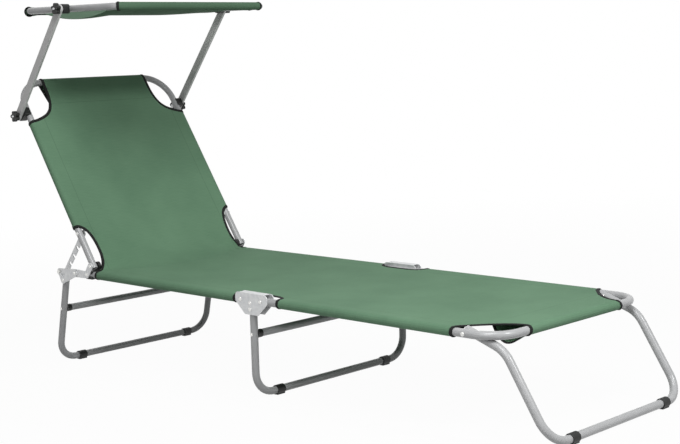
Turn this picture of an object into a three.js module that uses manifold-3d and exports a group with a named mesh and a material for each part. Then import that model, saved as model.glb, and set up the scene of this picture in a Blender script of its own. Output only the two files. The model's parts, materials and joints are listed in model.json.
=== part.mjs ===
// Folding sun lounger with a small canopy over the headrest, in millimetres.
// +X runs to the foot end, +Y to the lying person's left, +Z is up.
// Side views are drawn flat with x along the bed and z up, then extruded across the bed in y.
import * as THREE from 'three';
import { mergeVertices } from 'three/addons/utils/BufferGeometryUtils.js';
import Module from 'manifold-3d';

const wasm = await Module();
wasm.setup();

// Tubes and running gaps
const tubeDiameter = 19;
const tubeWall = 1;
const gap = 0.3;
const pinPlay = 0.5;
const cutOverrun = 5;
const mergeDistance = 1e-4;
const tubeSides = 12;
const boreSides = 6;
const pinSides = 8;
const bendStepsPerQuarter = 5;

// Bed: the seat and foot sections lie in one line that falls towards the foot end
const frameSpacing = 540;
const bedHeight = 250;
const bedSlope = THREE.MathUtils.degToRad(1.8);
const seatRearEnd = 697;
const seatFrontEnd = 20;
const footEnd = 748;
const footCornerRadius = 70;

// Backrest
const reclineAngle = THREE.MathUtils.degToRad(58);
const hingeInset = 28;
const hingeBack = seatRearEnd - hingeInset;
const hingeRise = 25;
const backrestLength = 610;
const backrestStub = 8;
const backrestCornerRadius = 82;

// Adjuster: a notched bar each side hangs from the backrest and hooks over a pin behind the seat
const adjusterReach = 105;
const adjusterPinBeyond = 125;
const adjusterPinBack = seatRearEnd + adjusterPinBeyond;
const adjusterPinDrop = 3;
const adjusterPinRadius = 4;
const adjusterHeadRadius = 6;
const barWidth = 18;
const barThickness = 3;
const barStandoff = 2.3;
const barTail = 14;
const notchPitch = 31;
const notchCount = 4;

// Pressed steel plates of the rear hinge
const plateThickness = 2.5;
const plateEndRadius = 10;
const legPivotBeyond = 45;
const legPivotBack = seatRearEnd + legPivotBeyond;
const legPivotPlateRadius = 11;
const seatRivetInset = 9;
const seatRivetBack = seatRearEnd - seatRivetInset;
const studLength = 3;

// Plastic saddle under the rear hinge
const saddleLength = 33;
const saddleRear = seatRearEnd;
const saddleFront = saddleRear - saddleLength;
const saddleTop = 11.5;
const saddleBottom = 12;
const saddleLugThickness = 8;
const saddleLugRadius = 11;

// Pins and rivets
const pinRadius = 3;
const headRadius = 5;
const headHeight = 2;
const spacerRadius = 5;

// Middle hinge bracket: a pressed channel that straddles the tubes from above
const bracketThickness = 2;
const bracketHalfLength = 58;
const bracketShoulder = 44;
const bracketTopRise = 18.5;
const bracketSideRise = 10;
const bracketSideDrop = 4;
const bracketFoot = 24;
const bracketDrop = 35;
const bracketRivetBack = 40;
const footPivotAhead = 33;
const footTubeOverhang = 12;
const middleLegBack = 5;
const middleLegDrop = 22;
const bracketSpacerDrop = 6;
const legStopLip = 2;
const legStopHeight = 4.5;

// Legs
const legBendRadius = 56;
const legTopOverhang = 8;
const rearRivetBack = 61.5;
const rearRivetDrop = 23.5;
const rearFootBeyond = 171;
const rearFootBack = seatRearEnd + rearFootBeyond;
const rearLegTopOverhang = 7;
const middleFootBack = 14;
const braceHeight = 165;
const frontPivotInset = 87;
const frontPivotAhead = footEnd - frontPivotInset;
const frontLegOverhang = 12;
const frontLegInset = 0.6;
const frontApexAhead = footEnd;
const frontApexHeight = 196.5;
const frontApexRadius = 36;
const frontFootBeyond = 108;
const frontFootAhead = footEnd + frontFootBeyond;

// Plastic foot sleeves on the three floor bars
const footSleeveWall = 2.6;
const footSleeveLength = 35;
const footSleeveInset = 76;
const footPadWidth = 14;
const footPadDrop = 3;

// Cloth
const clothThickness = 1.2;
const sleevePlay = 0.5;
const backrestSleeveLow = 122;
const backrestSleeveBelowClamp = 35;
const backrestTopSleeveInset = 84;
const backrestTopSleeve = frameSpacing - 2 * backrestTopSleeveInset;
const backrestTopClothInset = 66;
const backrestTopCloth = frameSpacing - 2 * backrestTopClothInset;
const backrestCutRise = 12;
const hingeCutShare = 0.8;
const backrestClothOverhang = 7;
const hingeCutInset = 30;
const seatSleeveInset = 47;
const seatSleeveRear = seatRearEnd - seatSleeveInset;
const seatClothInset = 42;
const seatClothRear = seatRearEnd - seatClothInset;
const seatSleeveFront = 62;
const middleCutInset = 24;
const seatClothFront = 30;
const footClothRear = 31.5;
const footSleeveRear = 88;
const footCornerLength = 125;
const footSleeveFront = footEnd - footCornerLength;
const footCornerWidth = 98;
const footEndSleeve = frameSpacing - 2 * footCornerWidth;

// Canopy
const canopyInset = 10;
const canopySpacing = frameSpacing - 2 * canopyInset;
const canopyLength = 434;
const canopyTilt = THREE.MathUtils.degToRad(2.5);
const canopyCornerRadius = 26;
const canopyPivotBeyond = 6;
const canopyPivotBack = seatRearEnd + canopyPivotBeyond;
const canopyPivotHeight = 1008;
const canopyJointGap = 0.4;
const joinerLength = 60;
const canopySag = 34;
const canopyHemEnd = 28;
const canopyHemWidth = canopySpacing - 2 * canopyHemEnd;
const canopyHemInset = 16;
const canopyClothSteps = 20;

// Canopy arms and their clamps
const clampBelowTop = 100;
const clampReach = backrestLength - clampBelowTop;
const backrestSleeveHigh = clampReach - backrestSleeveBelowClamp;
const armStandoff = 20;
const armInner = frameSpacing / 2 + armStandoff;
const armThickness = 8;
const armWidth = 20;
const armWall = 1.2;
const clampDrop = 16;
const clampLength = 26;
const clampWall = 2.2;
const clampHeel = 9;
const clampCorner = 4;
const spacerSize = 26;
const boltRadius = 3;
const boltHeadRadius = 6;
const boltHeadHeight = 3;
const boltTip = 4;
const knobHeight = 13;
const knobHubRadius = 9;
const knobLobes = 5;
const knobLobeRadius = 5;
const knobReach = 16;

// Places worked out from the sizes above
const tubeRadius = tubeDiameter / 2;
const sleeveInner = tubeRadius + sleevePlay;
const sleeveOuter = sleeveInner + clothThickness;
const halfFrame = frameSpacing / 2;
const tubeOuterFace = halfFrame + tubeRadius;
const tubeInnerFace = halfFrame - tubeRadius;
const plateInner = tubeOuterFace + gap;
const plateOuter = plateInner + plateThickness;
const legPlateInner = plateOuter + gap;
const legPlateOuter = legPlateInner + plateThickness;
const barOuter = tubeInnerFace - barStandoff;
const barInner = barOuter - barThickness;
const saddleLugOuter = tubeInnerFace - gap;
const saddleLugInner = saddleLugOuter - saddleLugThickness;
const holeRadius = pinRadius + pinPlay;
const footSleeveOuter = tubeRadius + gap + footSleeveWall;
const floorBarHeight = tubeRadius + footPadDrop;
const rearLegHalf = plateOuter - tubeRadius;
const frontLegHalf = tubeInnerFace - frontLegInset - tubeRadius;
const armOuter = armInner + armThickness;
const halfCanopy = canopySpacing / 2;
const clampInner = halfFrame - sleeveInner - clampWall;

const bedPlace = (along, rise) => new THREE.Vector3(
  along * Math.cos(bedSlope) + rise * Math.sin(bedSlope),
  0,
  bedHeight - along * Math.sin(bedSlope) + rise * Math.cos(bedSlope),
);
const hinge = bedPlace(-hingeBack, hingeRise);
const backrestPlace = (up, forward = 0) => new THREE.Vector3(
  hinge.x - up * Math.cos(reclineAngle) + forward * Math.sin(reclineAngle),
  0,
  hinge.z + up * Math.sin(reclineAngle) + forward * Math.cos(reclineAngle),
);
const adjusterPivot = backrestPlace(adjusterReach);
const adjusterPin = bedPlace(-adjusterPinBack, -adjusterPinDrop);
const rearLegPivot = bedPlace(-legPivotBack, 0);
const middleLegPivot = bedPlace(-middleLegBack, -middleLegDrop);
const frontLegPivot = bedPlace(frontPivotAhead, 0);
const armPivot = backrestPlace(clampReach, -clampDrop);
const canopyPivot = new THREE.Vector3(-canopyPivotBack, 0, canopyPivotHeight);

// Solids: closed meshes joined and cut by the library
function toSolid(geometry) {
  const bare = geometry.clone();
  bare.deleteAttribute('normal');
  bare.deleteAttribute('uv');
  const merged = mergeVertices(bare, mergeDistance);
  return new wasm.Manifold(new wasm.Mesh({
    numProp: 3,
    vertProperties: new Float32Array(merged.attributes.position.array),
    triVerts: new Uint32Array(merged.index.array),
  }));
}

function toGeometry(solid) {
  const mesh = solid.getMesh();
  const geometry = new THREE.BufferGeometry();
  const places = new THREE.BufferAttribute(new Float32Array(mesh.vertProperties), 3);
  geometry.setAttribute('position', places);
  geometry.setIndex(new THREE.BufferAttribute(new Uint32Array(mesh.triVerts), 1));
  geometry.computeVertexNormals();
  return geometry;
}

const joined = (geometries) => geometries.map(toSolid).reduce((whole, piece) => whole.add(piece));
const cut = (solid, tools) => tools.map(toSolid).reduce((whole, tool) => whole.subtract(tool), solid);

// Outlines
function circlePoints(radius, sides, x = 0, y = 0) {
  const points = [];
  for (let i = 0; i < sides; i += 1) {
    const turn = ((i + 0.5) / sides) * 2 * Math.PI;
    points.push(new THREE.Vector2(x + radius * Math.cos(turn), y + radius * Math.sin(turn)));
  }
  return points;
}

// The outline of two discs and the straight edges that touch both
function linkShape(a, radiusA, b, radiusB, arcSteps = 5) {
  const along = Math.atan2(b.y - a.y, b.x - a.x);
  const spread = Math.acos((radiusA - radiusB) / a.distanceTo(b));
  const points = [];
  const sweep = (centre, radius, from, to) => {
    for (let i = 0; i <= arcSteps; i += 1) {
      const turn = from + ((to - from) * i) / arcSteps;
      points.push(new THREE.Vector2(centre.x + radius * Math.cos(turn), centre.y + radius * Math.sin(turn)));
    }
  };
  sweep(a, radiusA, along + spread, along + 2 * Math.PI - spread);
  sweep(b, radiusB, along - spread, along + spread);
  return new THREE.Shape(points);
}

// A side view outline extruded across the bed between two values of y
function across(shape, yFrom, yTo) {
  const depth = Math.abs(yTo - yFrom);
  const geometry = new THREE.ExtrudeGeometry(shape, { depth, bevelEnabled: false, curveSegments: 4 });
  geometry.rotateX(Math.PI / 2);
  geometry.translate(0, Math.max(yFrom, yTo), 0);
  return geometry;
}

const flatPoint = (x, z) => new THREE.Vector2(x, z);
const rod = (x, z, radius, yFrom, yTo, sides = pinSides) => across(
  new THREE.Shape(circlePoints(radius, sides, x, z)),
  yFrom,
  yTo,
);

function box(xFrom, xTo, yFrom, yTo, zFrom, zTo) {
  const geometry = new THREE.BoxGeometry(xTo - xFrom, Math.abs(yTo - yFrom), zTo - zFrom);
  geometry.translate((xFrom + xTo) / 2, (yFrom + yTo) / 2, (zFrom + zTo) / 2);
  return geometry;
}

// A path of straight runs and round bends, sampled only where it turns
class BentPath extends THREE.Curve {
  constructor(corners, bendRadii) {
    super();
    this.knots = [];
    this.add(corners[0], corners[1].clone().sub(corners[0]));
    for (let i = 1; i < corners.length - 1; i += 1) {
      this.addBend(corners[i - 1], corners[i], corners[i + 1], bendRadii[i - 1]);
    }
    const last = corners.length - 1;
    this.add(corners[last], corners[last].clone().sub(corners[last - 1]));
  }

  add(place, heading) {
    this.knots.push({ place: place.clone(), heading: heading.clone().normalize() });
  }

  addBend(before, corner, after, radius) {
    const inward = corner.clone().sub(before).normalize();
    const outward = after.clone().sub(corner).normalize();
    const turn = inward.angleTo(outward);
    const middle = outward.clone().sub(inward).normalize();
    const centre = corner.clone().addScaledVector(middle, radius / Math.cos(turn / 2));
    const axis = inward.clone().cross(outward).normalize();
    const start = corner.clone().addScaledVector(inward, -radius * Math.tan(turn / 2)).sub(centre);
    const steps = Math.ceil((bendStepsPerQuarter * turn) / (Math.PI / 2));
    for (let i = 0; i <= steps; i += 1) {
      const part = (turn * i) / steps;
      const spoke = start.clone().applyAxisAngle(axis, part);
      this.add(centre.clone().add(spoke), inward.clone().applyAxisAngle(axis, part));
    }
  }

  getPointAt(share) {
    return this.knots[Math.round(share * (this.knots.length - 1))].place.clone();
  }

  getTangentAt(share) {
    return this.knots[Math.round(share * (this.knots.length - 1))].heading.clone();
  }
}

function ringShape(outer, inner, outerSides = tubeSides, innerSides = boreSides) {
  const shape = new THREE.Shape(circlePoints(outer, outerSides));
  shape.holes.push(new THREE.Path(circlePoints(inner, innerSides)));
  return shape;
}

function bentTube(corners, bendRadii, outer = tubeRadius, wall = tubeWall) {
  const path = new BentPath(corners, bendRadii);
  return new THREE.ExtrudeGeometry(ringShape(outer, outer - wall), {
    steps: path.knots.length - 1,
    extrudePath: path,
    bevelEnabled: false,
  });
}

const place = (x, y, z) => new THREE.Vector3(x, y, z);
const sides = [['left', 1], ['right', -1]];

// Materials
const metal = (color, roughness) => new THREE.MeshStandardMaterial({ color, roughness, metalness: 0.85 });
const plain = (color, roughness) => new THREE.MeshStandardMaterial({ color, roughness, metalness: 0 });
const tubeFinish = () => metal(0xa9a9ab, 0.38);
const plateFinish = () => metal(0xb9b9bb, 0.42);
const rivetFinish = () => metal(0xd9d9db, 0.3);
const plasticFinish = () => plain(0x141615, 0.5);
const clothFinish = () => plain(0x5c8466, 0.85);

function named(name, geometry, material) {
  const mesh = new THREE.Mesh(geometry, material);
  mesh.name = name;
  return mesh;
}

// Pins: a shank with a head at each end, drawn at its own place in the side view
function pin(x, z, side, stations) {
  return toGeometry(joined(stations.map(([radius, from, to]) => rod(x, z, radius, side * from, side * to))));
}

const throughHole = (x, z, radius = holeRadius) => rod(
  x,
  z,
  radius,
  -(halfFrame + armOuter),
  halfFrame + armOuter,
);

// Cloth: a panel on top of the tubes with a sleeve round each side tube
const sleeveAlongBed = (xFrom, xTo, y) => {
  const geometry = new THREE.ExtrudeGeometry(ringShape(sleeveOuter, sleeveInner, tubeSides, tubeSides), {
    depth: xTo - xFrom,
    bevelEnabled: false,
  });
  geometry.rotateY(Math.PI / 2);
  geometry.translate(xFrom, y, 0);
  return geometry;
};

const sleeveAcrossBed = (x, length) => {
  const geometry = across(ringShape(sleeveOuter, sleeveInner, tubeSides, tubeSides), -length / 2, length / 2);
  geometry.translate(x, 0, 0);
  return geometry;
};

// The panel's edge is drawn for the left half and mirrored: straight to a point, or curved to it
function panel(halfEdge) {
  const half = new THREE.Shape();
  half.moveTo(halfEdge[0][0], halfEdge[0][1]);
  halfEdge.slice(1).forEach((step) => {
    if (step.length === 2) half.lineTo(...step);
    else half.bezierCurveTo(...step);
  });
  const left = half.getPoints(6);
  const right = left.slice(1, -1).reverse().map((point) => new THREE.Vector2(point.x, -point.y));
  const shape = new THREE.Shape([...left, ...right]);
  const geometry = new THREE.ExtrudeGeometry(shape, { depth: clothThickness, bevelEnabled: false });
  geometry.translate(0, 0, sleeveInner);
  return geometry;
}

// Seat section, the fixed body: side tubes, hinge plates, brackets and cloth
function seatTube(side) {
  const y = side * halfFrame;
  const tube = bentTube([place(-seatRearEnd, y, 0), place(-seatFrontEnd, y, 0)], []);
  const outerWall = [y, side * (tubeOuterFace + cutOverrun)];
  return toGeometry(cut(toSolid(tube), [
    rod(-seatRivetBack, 0, holeRadius, ...outerWall),
    rod(-bracketRivetBack, 0, holeRadius, ...outerWall),
  ]));
}

const stud = (x, z, side, face) => [
  rod(x, z, pinRadius, side * (face - plateThickness - gap - studLength), side * face),
  rod(x, z, headRadius, side * face, side * (face + headHeight)),
];

function rearPlate(side) {
  const hingeHole = flatPoint(-hingeBack, hingeRise);
  const rivet = flatPoint(-seatRivetBack, 0);
  const legHole = flatPoint(-legPivotBack, 0);
  const tip = flatPoint(-adjusterPinBack, -adjusterPinDrop);
  const links = [
    linkShape(tip, plateEndRadius, legHole, legPivotPlateRadius),
    linkShape(legHole, legPivotPlateRadius, rivet, plateEndRadius),
    linkShape(rivet, plateEndRadius, hingeHole, plateEndRadius),
  ].map((shape) => across(shape, side * plateInner, side * plateOuter));
  const plate = joined([...links, ...stud(rivet.x, rivet.y, side, plateOuter)]);
  return toGeometry(cut(plate, [
    throughHole(hingeHole.x, hingeHole.y),
    throughHole(legHole.x, legHole.y),
    throughHole(tip.x, tip.y, adjusterPinRadius + pinPlay),
  ]));
}

function hingeSaddle(side) {
  const middle = -(saddleRear + saddleFront) / 2;
  const lug = linkShape(
    flatPoint(middle, 0),
    saddleLugRadius,
    flatPoint(-hingeBack, hingeRise),
    saddleLugRadius,
  );
  const body = joined([
    across(lug, side * saddleLugInner, side * saddleLugOuter),
    box(-saddleRear, -saddleFront, side * saddleLugInner, side * (tubeOuterFace - gap),
      -saddleBottom, saddleTop),
  ]);
  const bore = tubeBore(saddleRear - saddleFront, side * halfFrame);
  bore.translate(middle, 0, 0);
  return toGeometry(cut(body, [bore, throughHole(-hingeBack, hingeRise)]));
}

const hingePin = (side) => pin(-hingeBack, hingeRise, side, [
  [pinRadius, saddleLugInner - gap, plateOuter + gap],
  [headRadius, saddleLugInner - gap - headHeight, saddleLugInner - gap],
  [headRadius, plateOuter + gap, plateOuter + gap + headHeight],
]);

const adjusterHookPin = (side) => pin(-adjusterPinBack, -adjusterPinDrop, side, [
  [adjusterPinRadius, barOuter + gap, legPlateOuter + gap],
  [adjusterHeadRadius, legPlateOuter + gap, legPlateOuter + gap + headHeight],
  [adjusterHeadRadius, plateInner - gap - headHeight, plateInner - gap],
]);

const rearLegPin = (side) => pin(-legPivotBack, 0, side, [
  [pinRadius, plateInner - gap, legPlateOuter + gap],
  [headRadius, plateInner - gap - headHeight, plateInner - gap],
  [headRadius, legPlateOuter + gap, legPlateOuter + gap + headHeight],
]);

function bracketOutline() {
  const shape = new THREE.Shape();
  shape.moveTo(-bracketFoot, -bracketDrop);
  shape.lineTo(bracketFoot, -bracketDrop);
  shape.lineTo(bracketHalfLength, -bracketSideDrop);
  shape.lineTo(bracketHalfLength, bracketSideRise);
  shape.quadraticCurveTo(bracketHalfLength, bracketTopRise, bracketShoulder, bracketTopRise);
  shape.lineTo(-bracketShoulder, bracketTopRise);
  shape.quadraticCurveTo(-bracketHalfLength, bracketTopRise, -bracketHalfLength, bracketSideRise);
  shape.lineTo(-bracketHalfLength, -bracketSideDrop);
  return shape;
}

function middleBracket(side) {
  const outerInside = plateInner;
  const outerOutside = outerInside + bracketThickness;
  const innerOutside = tubeInnerFace - gap;
  const innerInside = innerOutside - bracketThickness;
  const rivetFace = outerOutside + headHeight;
  const lipFace = -middleLegBack - tubeRadius - gap;
  const shell = joined([
    across(bracketOutline(), side * outerInside, side * outerOutside),
    across(bracketOutline(), side * innerInside, side * innerOutside),
    box(-bracketShoulder, bracketShoulder, side * innerInside, side * outerOutside,
      bracketTopRise - bracketThickness, bracketTopRise),
    box(lipFace - legStopLip, lipFace, side * innerInside, side * outerOutside,
      -bracketDrop, legStopHeight - bracketDrop),
    rod(-middleLegBack, -bracketSpacerDrop, pinRadius, side * innerInside, side * outerOutside),
    rod(-middleLegBack, -bracketSpacerDrop, headRadius, side * outerOutside, side * rivetFace),
    rod(-bracketRivetBack, 0, pinRadius, side * (outerInside - gap - studLength), side * outerInside),
    rod(-bracketRivetBack, 0, headRadius, side * outerOutside, side * rivetFace),
  ]);
  return toGeometry(cut(shell, [
    throughHole(footPivotAhead, 0),
    throughHole(-middleLegBack, -middleLegDrop),
  ]));
}

function bracketPin(x, z, side) {
  const inside = tubeInnerFace - bracketThickness - 2 * gap;
  const outside = plateInner + bracketThickness + gap;
  return pin(x, z, side, [
    [pinRadius, inside, outside],
    [headRadius, inside - headHeight, inside],
    [headRadius, outside, outside + headHeight],
  ]);
}

function seatCloth() {
  const cutEdge = halfFrame - hingeCutInset;
  const middleEdge = halfFrame - middleCutInset;
  const middleReach = seatSleeveFront + seatClothFront;
  const edge = [
    [-seatClothRear, 0],
    [-seatClothRear, cutEdge],
    [-seatSleeveRear, halfFrame],
    [-seatSleeveFront, halfFrame],
    [-seatSleeveFront, middleEdge, -seatSleeveFront + middleReach / 8, middleEdge,
      -seatSleeveFront + middleReach / 3, middleEdge],
    [seatClothFront, middleEdge],
    [seatClothFront, 0],
  ];
  return toGeometry(joined([
    panel(edge),
    ...sides.map(([, side]) => sleeveAlongBed(-seatSleeveRear, -seatSleeveFront, side * halfFrame)),
  ]));
}

function seatSection() {
  const group = new THREE.Group();
  sides.forEach(([name, side]) => {
    group.add(named(`seat_tube_${name}`, seatTube(side), tubeFinish()));
    group.add(named(`rear_hinge_plate_${name}`, rearPlate(side), plateFinish()));
    group.add(named(`hinge_saddle_${name}`, hingeSaddle(side), plasticFinish()));
    group.add(named(`backrest_hinge_pin_${name}`, hingePin(side), rivetFinish()));
    group.add(named(`adjuster_hook_pin_${name}`, adjusterHookPin(side), rivetFinish()));
    group.add(named(`rear_leg_pin_${name}`, rearLegPin(side), rivetFinish()));
    group.add(named(`middle_bracket_${name}`, middleBracket(side), plateFinish()));
    group.add(named(`foot_hinge_pin_${name}`, bracketPin(footPivotAhead, 0, side), rivetFinish()));
    const legPin = bracketPin(-middleLegBack, -middleLegDrop, side);
    group.add(named(`middle_leg_pin_${name}`, legPin, rivetFinish()));
  });
  group.add(named('seat_cloth', seatCloth(), clothFinish()));
  return group;
}

// Foot section: a U tube with its own cloth and the pivots of the front legs
function footFrame() {
  const rear = footPivotAhead - footTubeOverhang;
  const tube = bentTube([
    place(rear, halfFrame, 0),
    place(footEnd, halfFrame, 0),
    place(footEnd, -halfFrame, 0),
    place(rear, -halfFrame, 0),
  ], [footCornerRadius, footCornerRadius]);
  return toGeometry(cut(toSolid(tube), [throughHole(footPivotAhead, 0), throughHole(frontPivotAhead, 0)]));
}

const frontLegPin = (side) => {
  const inner = frontLegHalf - tubeRadius - gap;
  const outer = tubeOuterFace + gap;
  return pin(frontPivotAhead, 0, side, [
    [pinRadius, inner, outer],
    [headRadius, inner - headHeight, inner],
    [headRadius, outer, outer + headHeight],
  ]);
};

function footCloth() {
  const middleEdge = halfFrame - middleCutInset;
  const endEdge = footEndSleeve / 2;
  const middleReach = footSleeveRear - footClothRear;
  const edge = [
    [footClothRear, 0],
    [footClothRear, middleEdge],
    [footSleeveRear - middleReach / 2, middleEdge],
    [footSleeveRear - middleReach / 4, middleEdge, footSleeveRear, middleEdge, footSleeveRear, halfFrame],
    [footSleeveFront, halfFrame],
    [footSleeveFront + footCornerLength / 12, halfFrame - footCornerWidth / 3, footEnd - footCornerLength / 2,
      endEdge + footCornerWidth / 12, footEnd, endEdge],
    [footEnd, 0],
  ];
  return toGeometry(joined([
    panel(edge),
    ...sides.map(([, side]) => sleeveAlongBed(footSleeveRear, footSleeveFront, side * halfFrame)),
    sleeveAcrossBed(footEnd, footEndSleeve),
  ]));
}

function footSection() {
  const group = new THREE.Group();
  group.add(named('foot_frame', footFrame(), tubeFinish()));
  group.add(named('foot_cloth', footCloth(), clothFinish()));
  sides.forEach(([name, side]) => {
    group.add(named(`front_leg_pin_${name}`, frontLegPin(side), rivetFinish()));
  });
  return group;
}

// Backrest, drawn lying flat behind its hinge and turned up afterwards
function backrestFrame() {
  const tube = bentTube([
    place(backrestStub, halfFrame, 0),
    place(-backrestLength, halfFrame, 0),
    place(-backrestLength, -halfFrame, 0),
    place(backrestStub, -halfFrame, 0),
  ], [backrestCornerRadius, backrestCornerRadius]);
  return toGeometry(cut(toSolid(tube), [
    throughHole(0, 0),
    throughHole(-adjusterReach, 0),
  ]));
}

function backrestCloth() {
  const cutEdge = halfFrame - hingeCutInset;
  const topEdge = backrestTopCloth / 2;
  const cutReach = backrestSleeveLow;
  const cornerReach = backrestLength - backrestSleeveHigh;
  const edge = [
    [backrestClothOverhang, 0],
    [backrestClothOverhang, cutEdge],
    [-cutReach / 2, cutEdge],
    [-cutReach * hingeCutShare, cutEdge, -cutReach, halfFrame - hingeCutInset / 2, -cutReach, halfFrame],
    [-backrestSleeveHigh, halfFrame],
    [-backrestSleeveHigh - cornerReach / 8, topEdge, -backrestLength + cornerReach / 2, topEdge,
      backrestCutRise - backrestLength, topEdge],
    [-backrestLength, backrestTopSleeve / 2],
    [-backrestLength, 0],
  ];
  return toGeometry(joined([
    panel(edge),
    ...sides.map(([, side]) => sleeveAlongBed(-backrestSleeveHigh, -backrestSleeveLow, side * halfFrame)),
    sleeveAcrossBed(-backrestLength, backrestTopSleeve),
  ]));
}

// A block with cut corners, in side view
function blockShape(xFrom, xTo, zFrom, zTo) {
  return new THREE.Shape([
    flatPoint(xFrom, zFrom + clampCorner),
    flatPoint(xFrom + clampCorner, zFrom),
    flatPoint(xTo - clampCorner, zFrom),
    flatPoint(xTo, zFrom + clampCorner),
    flatPoint(xTo, zTo - clampCorner),
    flatPoint(xTo - clampCorner, zTo),
    flatPoint(xFrom + clampCorner, zTo),
    flatPoint(xFrom, zTo - clampCorner),
  ]);
}

function tubeBore(length, y) {
  const bore = new THREE.ExtrudeGeometry(new THREE.Shape(circlePoints(sleeveInner, tubeSides)), {
    depth: length + 2 * cutOverrun,
    bevelEnabled: false,
  });
  bore.rotateY(Math.PI / 2);
  bore.translate(-length / 2 - cutOverrun, y, 0);
  return bore;
}

// A plastic clamp round a backrest tube; the bolt that closes it passes behind the tube
function backrestClamp(side) {
  const top = sleeveInner + clampWall;
  const outline = blockShape(-clampLength / 2, clampLength / 2, -clampDrop - clampHeel, top);
  return cut(toSolid(across(outline, side * clampInner, side * (armInner - gap))), [
    tubeBore(clampLength, side * halfFrame),
    throughHole(0, -clampDrop, boltRadius + pinPlay),
  ]);
}

// A plastic spacer between a canopy tube and its arm, hollowed to sit on the tube
function canopySpacer(side) {
  const half = spacerSize / 2;
  const outline = blockShape(-half, half, -half, half);
  return cut(toSolid(across(outline, side * halfCanopy, side * (armInner - gap))), [
    tubeBore(spacerSize, side * halfCanopy),
    throughHole(0, 0, boltRadius + pinPlay),
  ]);
}

const clampBolt = (z, side, inside) => toGeometry(joined([
  rod(0, z, boltRadius, side * (inside - gap), side * (armOuter + gap + knobHeight + boltTip)),
  rod(0, z, boltHeadRadius, side * (inside - gap - boltHeadHeight), side * (inside - gap)),
]));

// A star knob: a hub with round lobes, bored for the bolt
function starKnob(side) {
  const from = armOuter + gap;
  const to = from + knobHeight;
  const lobes = [];
  for (let i = 0; i < knobLobes; i += 1) {
    const turn = (i / knobLobes) * 2 * Math.PI + Math.PI / 2;
    const reach = knobReach - knobLobeRadius;
    const lobe = linkShape(flatPoint(0, 0), knobLobeRadius,
      flatPoint(reach * Math.cos(turn), reach * Math.sin(turn)), knobLobeRadius, 4);
    lobes.push(across(lobe, side * from, side * to));
  }
  const body = joined([rod(0, 0, knobHubRadius, side * from, side * to, tubeSides), ...lobes]);
  return toGeometry(cut(body, [throughHole(0, 0, boltRadius + pinPlay)]));
}

function backrest() {
  const group = new THREE.Group();
  group.add(named('backrest_frame', backrestFrame(), tubeFinish()));
  group.add(named('backrest_cloth', backrestCloth(), clothFinish()));
  sides.forEach(([name, side]) => {
    const clamp = named(`backrest_clamp_${name}`, toGeometry(backrestClamp(side)), plasticFinish());
    const boltShape = clampBolt(-clampDrop, side, clampInner);
    const bolt = named(`backrest_clamp_bolt_${name}`, boltShape, plateFinish());
    const knob = named(`backrest_knob_${name}`, starKnob(side), plasticFinish());
    [clamp, bolt, knob].forEach((mesh) => mesh.position.setX(-clampReach));
    knob.position.setZ(-clampDrop);
    group.add(clamp, bolt, knob);
    group.add(named(`adjuster_pin_${name}`, pin(-adjusterReach, 0, side, [
      [pinRadius, barInner - gap, tubeOuterFace + gap],
      [headRadius, barInner - gap - headHeight, barInner - gap],
      [spacerRadius, barOuter + gap, tubeInnerFace - gap],
      [headRadius, tubeOuterFace + gap, tubeOuterFace + gap + headHeight],
    ]), plasticFinish()));
  });
  return group;
}

// Adjuster bar, drawn along -x from its pivot; the notches open towards the seat
function adjusterBar(side) {
  const reach = adjusterPivot.distanceTo(adjusterPin);
  const halfWidth = barWidth / 2;
  const blank = linkShape(flatPoint(0, 0), halfWidth, flatPoint(-reach - barTail, 0), halfWidth);
  const notches = [];
  for (let i = 0; i < notchCount; i += 1) {
    const x = -reach + i * notchPitch;
    const notch = linkShape(flatPoint(x, 0), adjusterPinRadius + pinPlay,
      flatPoint(x, -barWidth), adjusterPinRadius + pinPlay);
    notches.push(across(notch, side * (barInner - cutOverrun), side * (barOuter + cutOverrun)));
  }
  const bar = toSolid(across(blank, side * barInner, side * barOuter));
  return toGeometry(cut(bar, [...notches, throughHole(0, 0)]));
}

// Legs: U tubes with a brace, drawn at their real stance round their pivots
function legTube(corners, bendRadii, holes) {
  return toGeometry(cut(toSolid(bentTube(corners, bendRadii)), holes));
}

function footSleeve(x, z, side, half) {
  const centre = side * (half - footSleeveInset);
  const outline = circlePoints(footSleeveOuter, tubeSides);
  const pad = box(-footPadWidth / 2, footPadWidth / 2, -footSleeveLength / 2, footSleeveLength / 2,
    -floorBarHeight, 0);
  const bore = rod(0, 0, sleeveInner, -footSleeveLength, footSleeveLength, tubeSides);
  const belowFloor = box(-footSleeveOuter, footSleeveOuter, -footSleeveLength, footSleeveLength,
    -floorBarHeight - footSleeveOuter, -floorBarHeight);
  const ring = across(new THREE.Shape(outline), -footSleeveLength / 2, footSleeveLength / 2);
  const geometry = toGeometry(cut(joined([ring, pad]), [bore, belowFloor]));
  geometry.translate(x, centre, z);
  return geometry;
}

function brace(x, z, half) {
  const length = half - tubeRadius - gap;
  return bentTube([place(x, -length, z), place(x, length, z)], []);
}

const onLine = (from, to, height) => from.x + ((to.x - from.x) * (height - from.z)) / (to.z - from.z);

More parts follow.
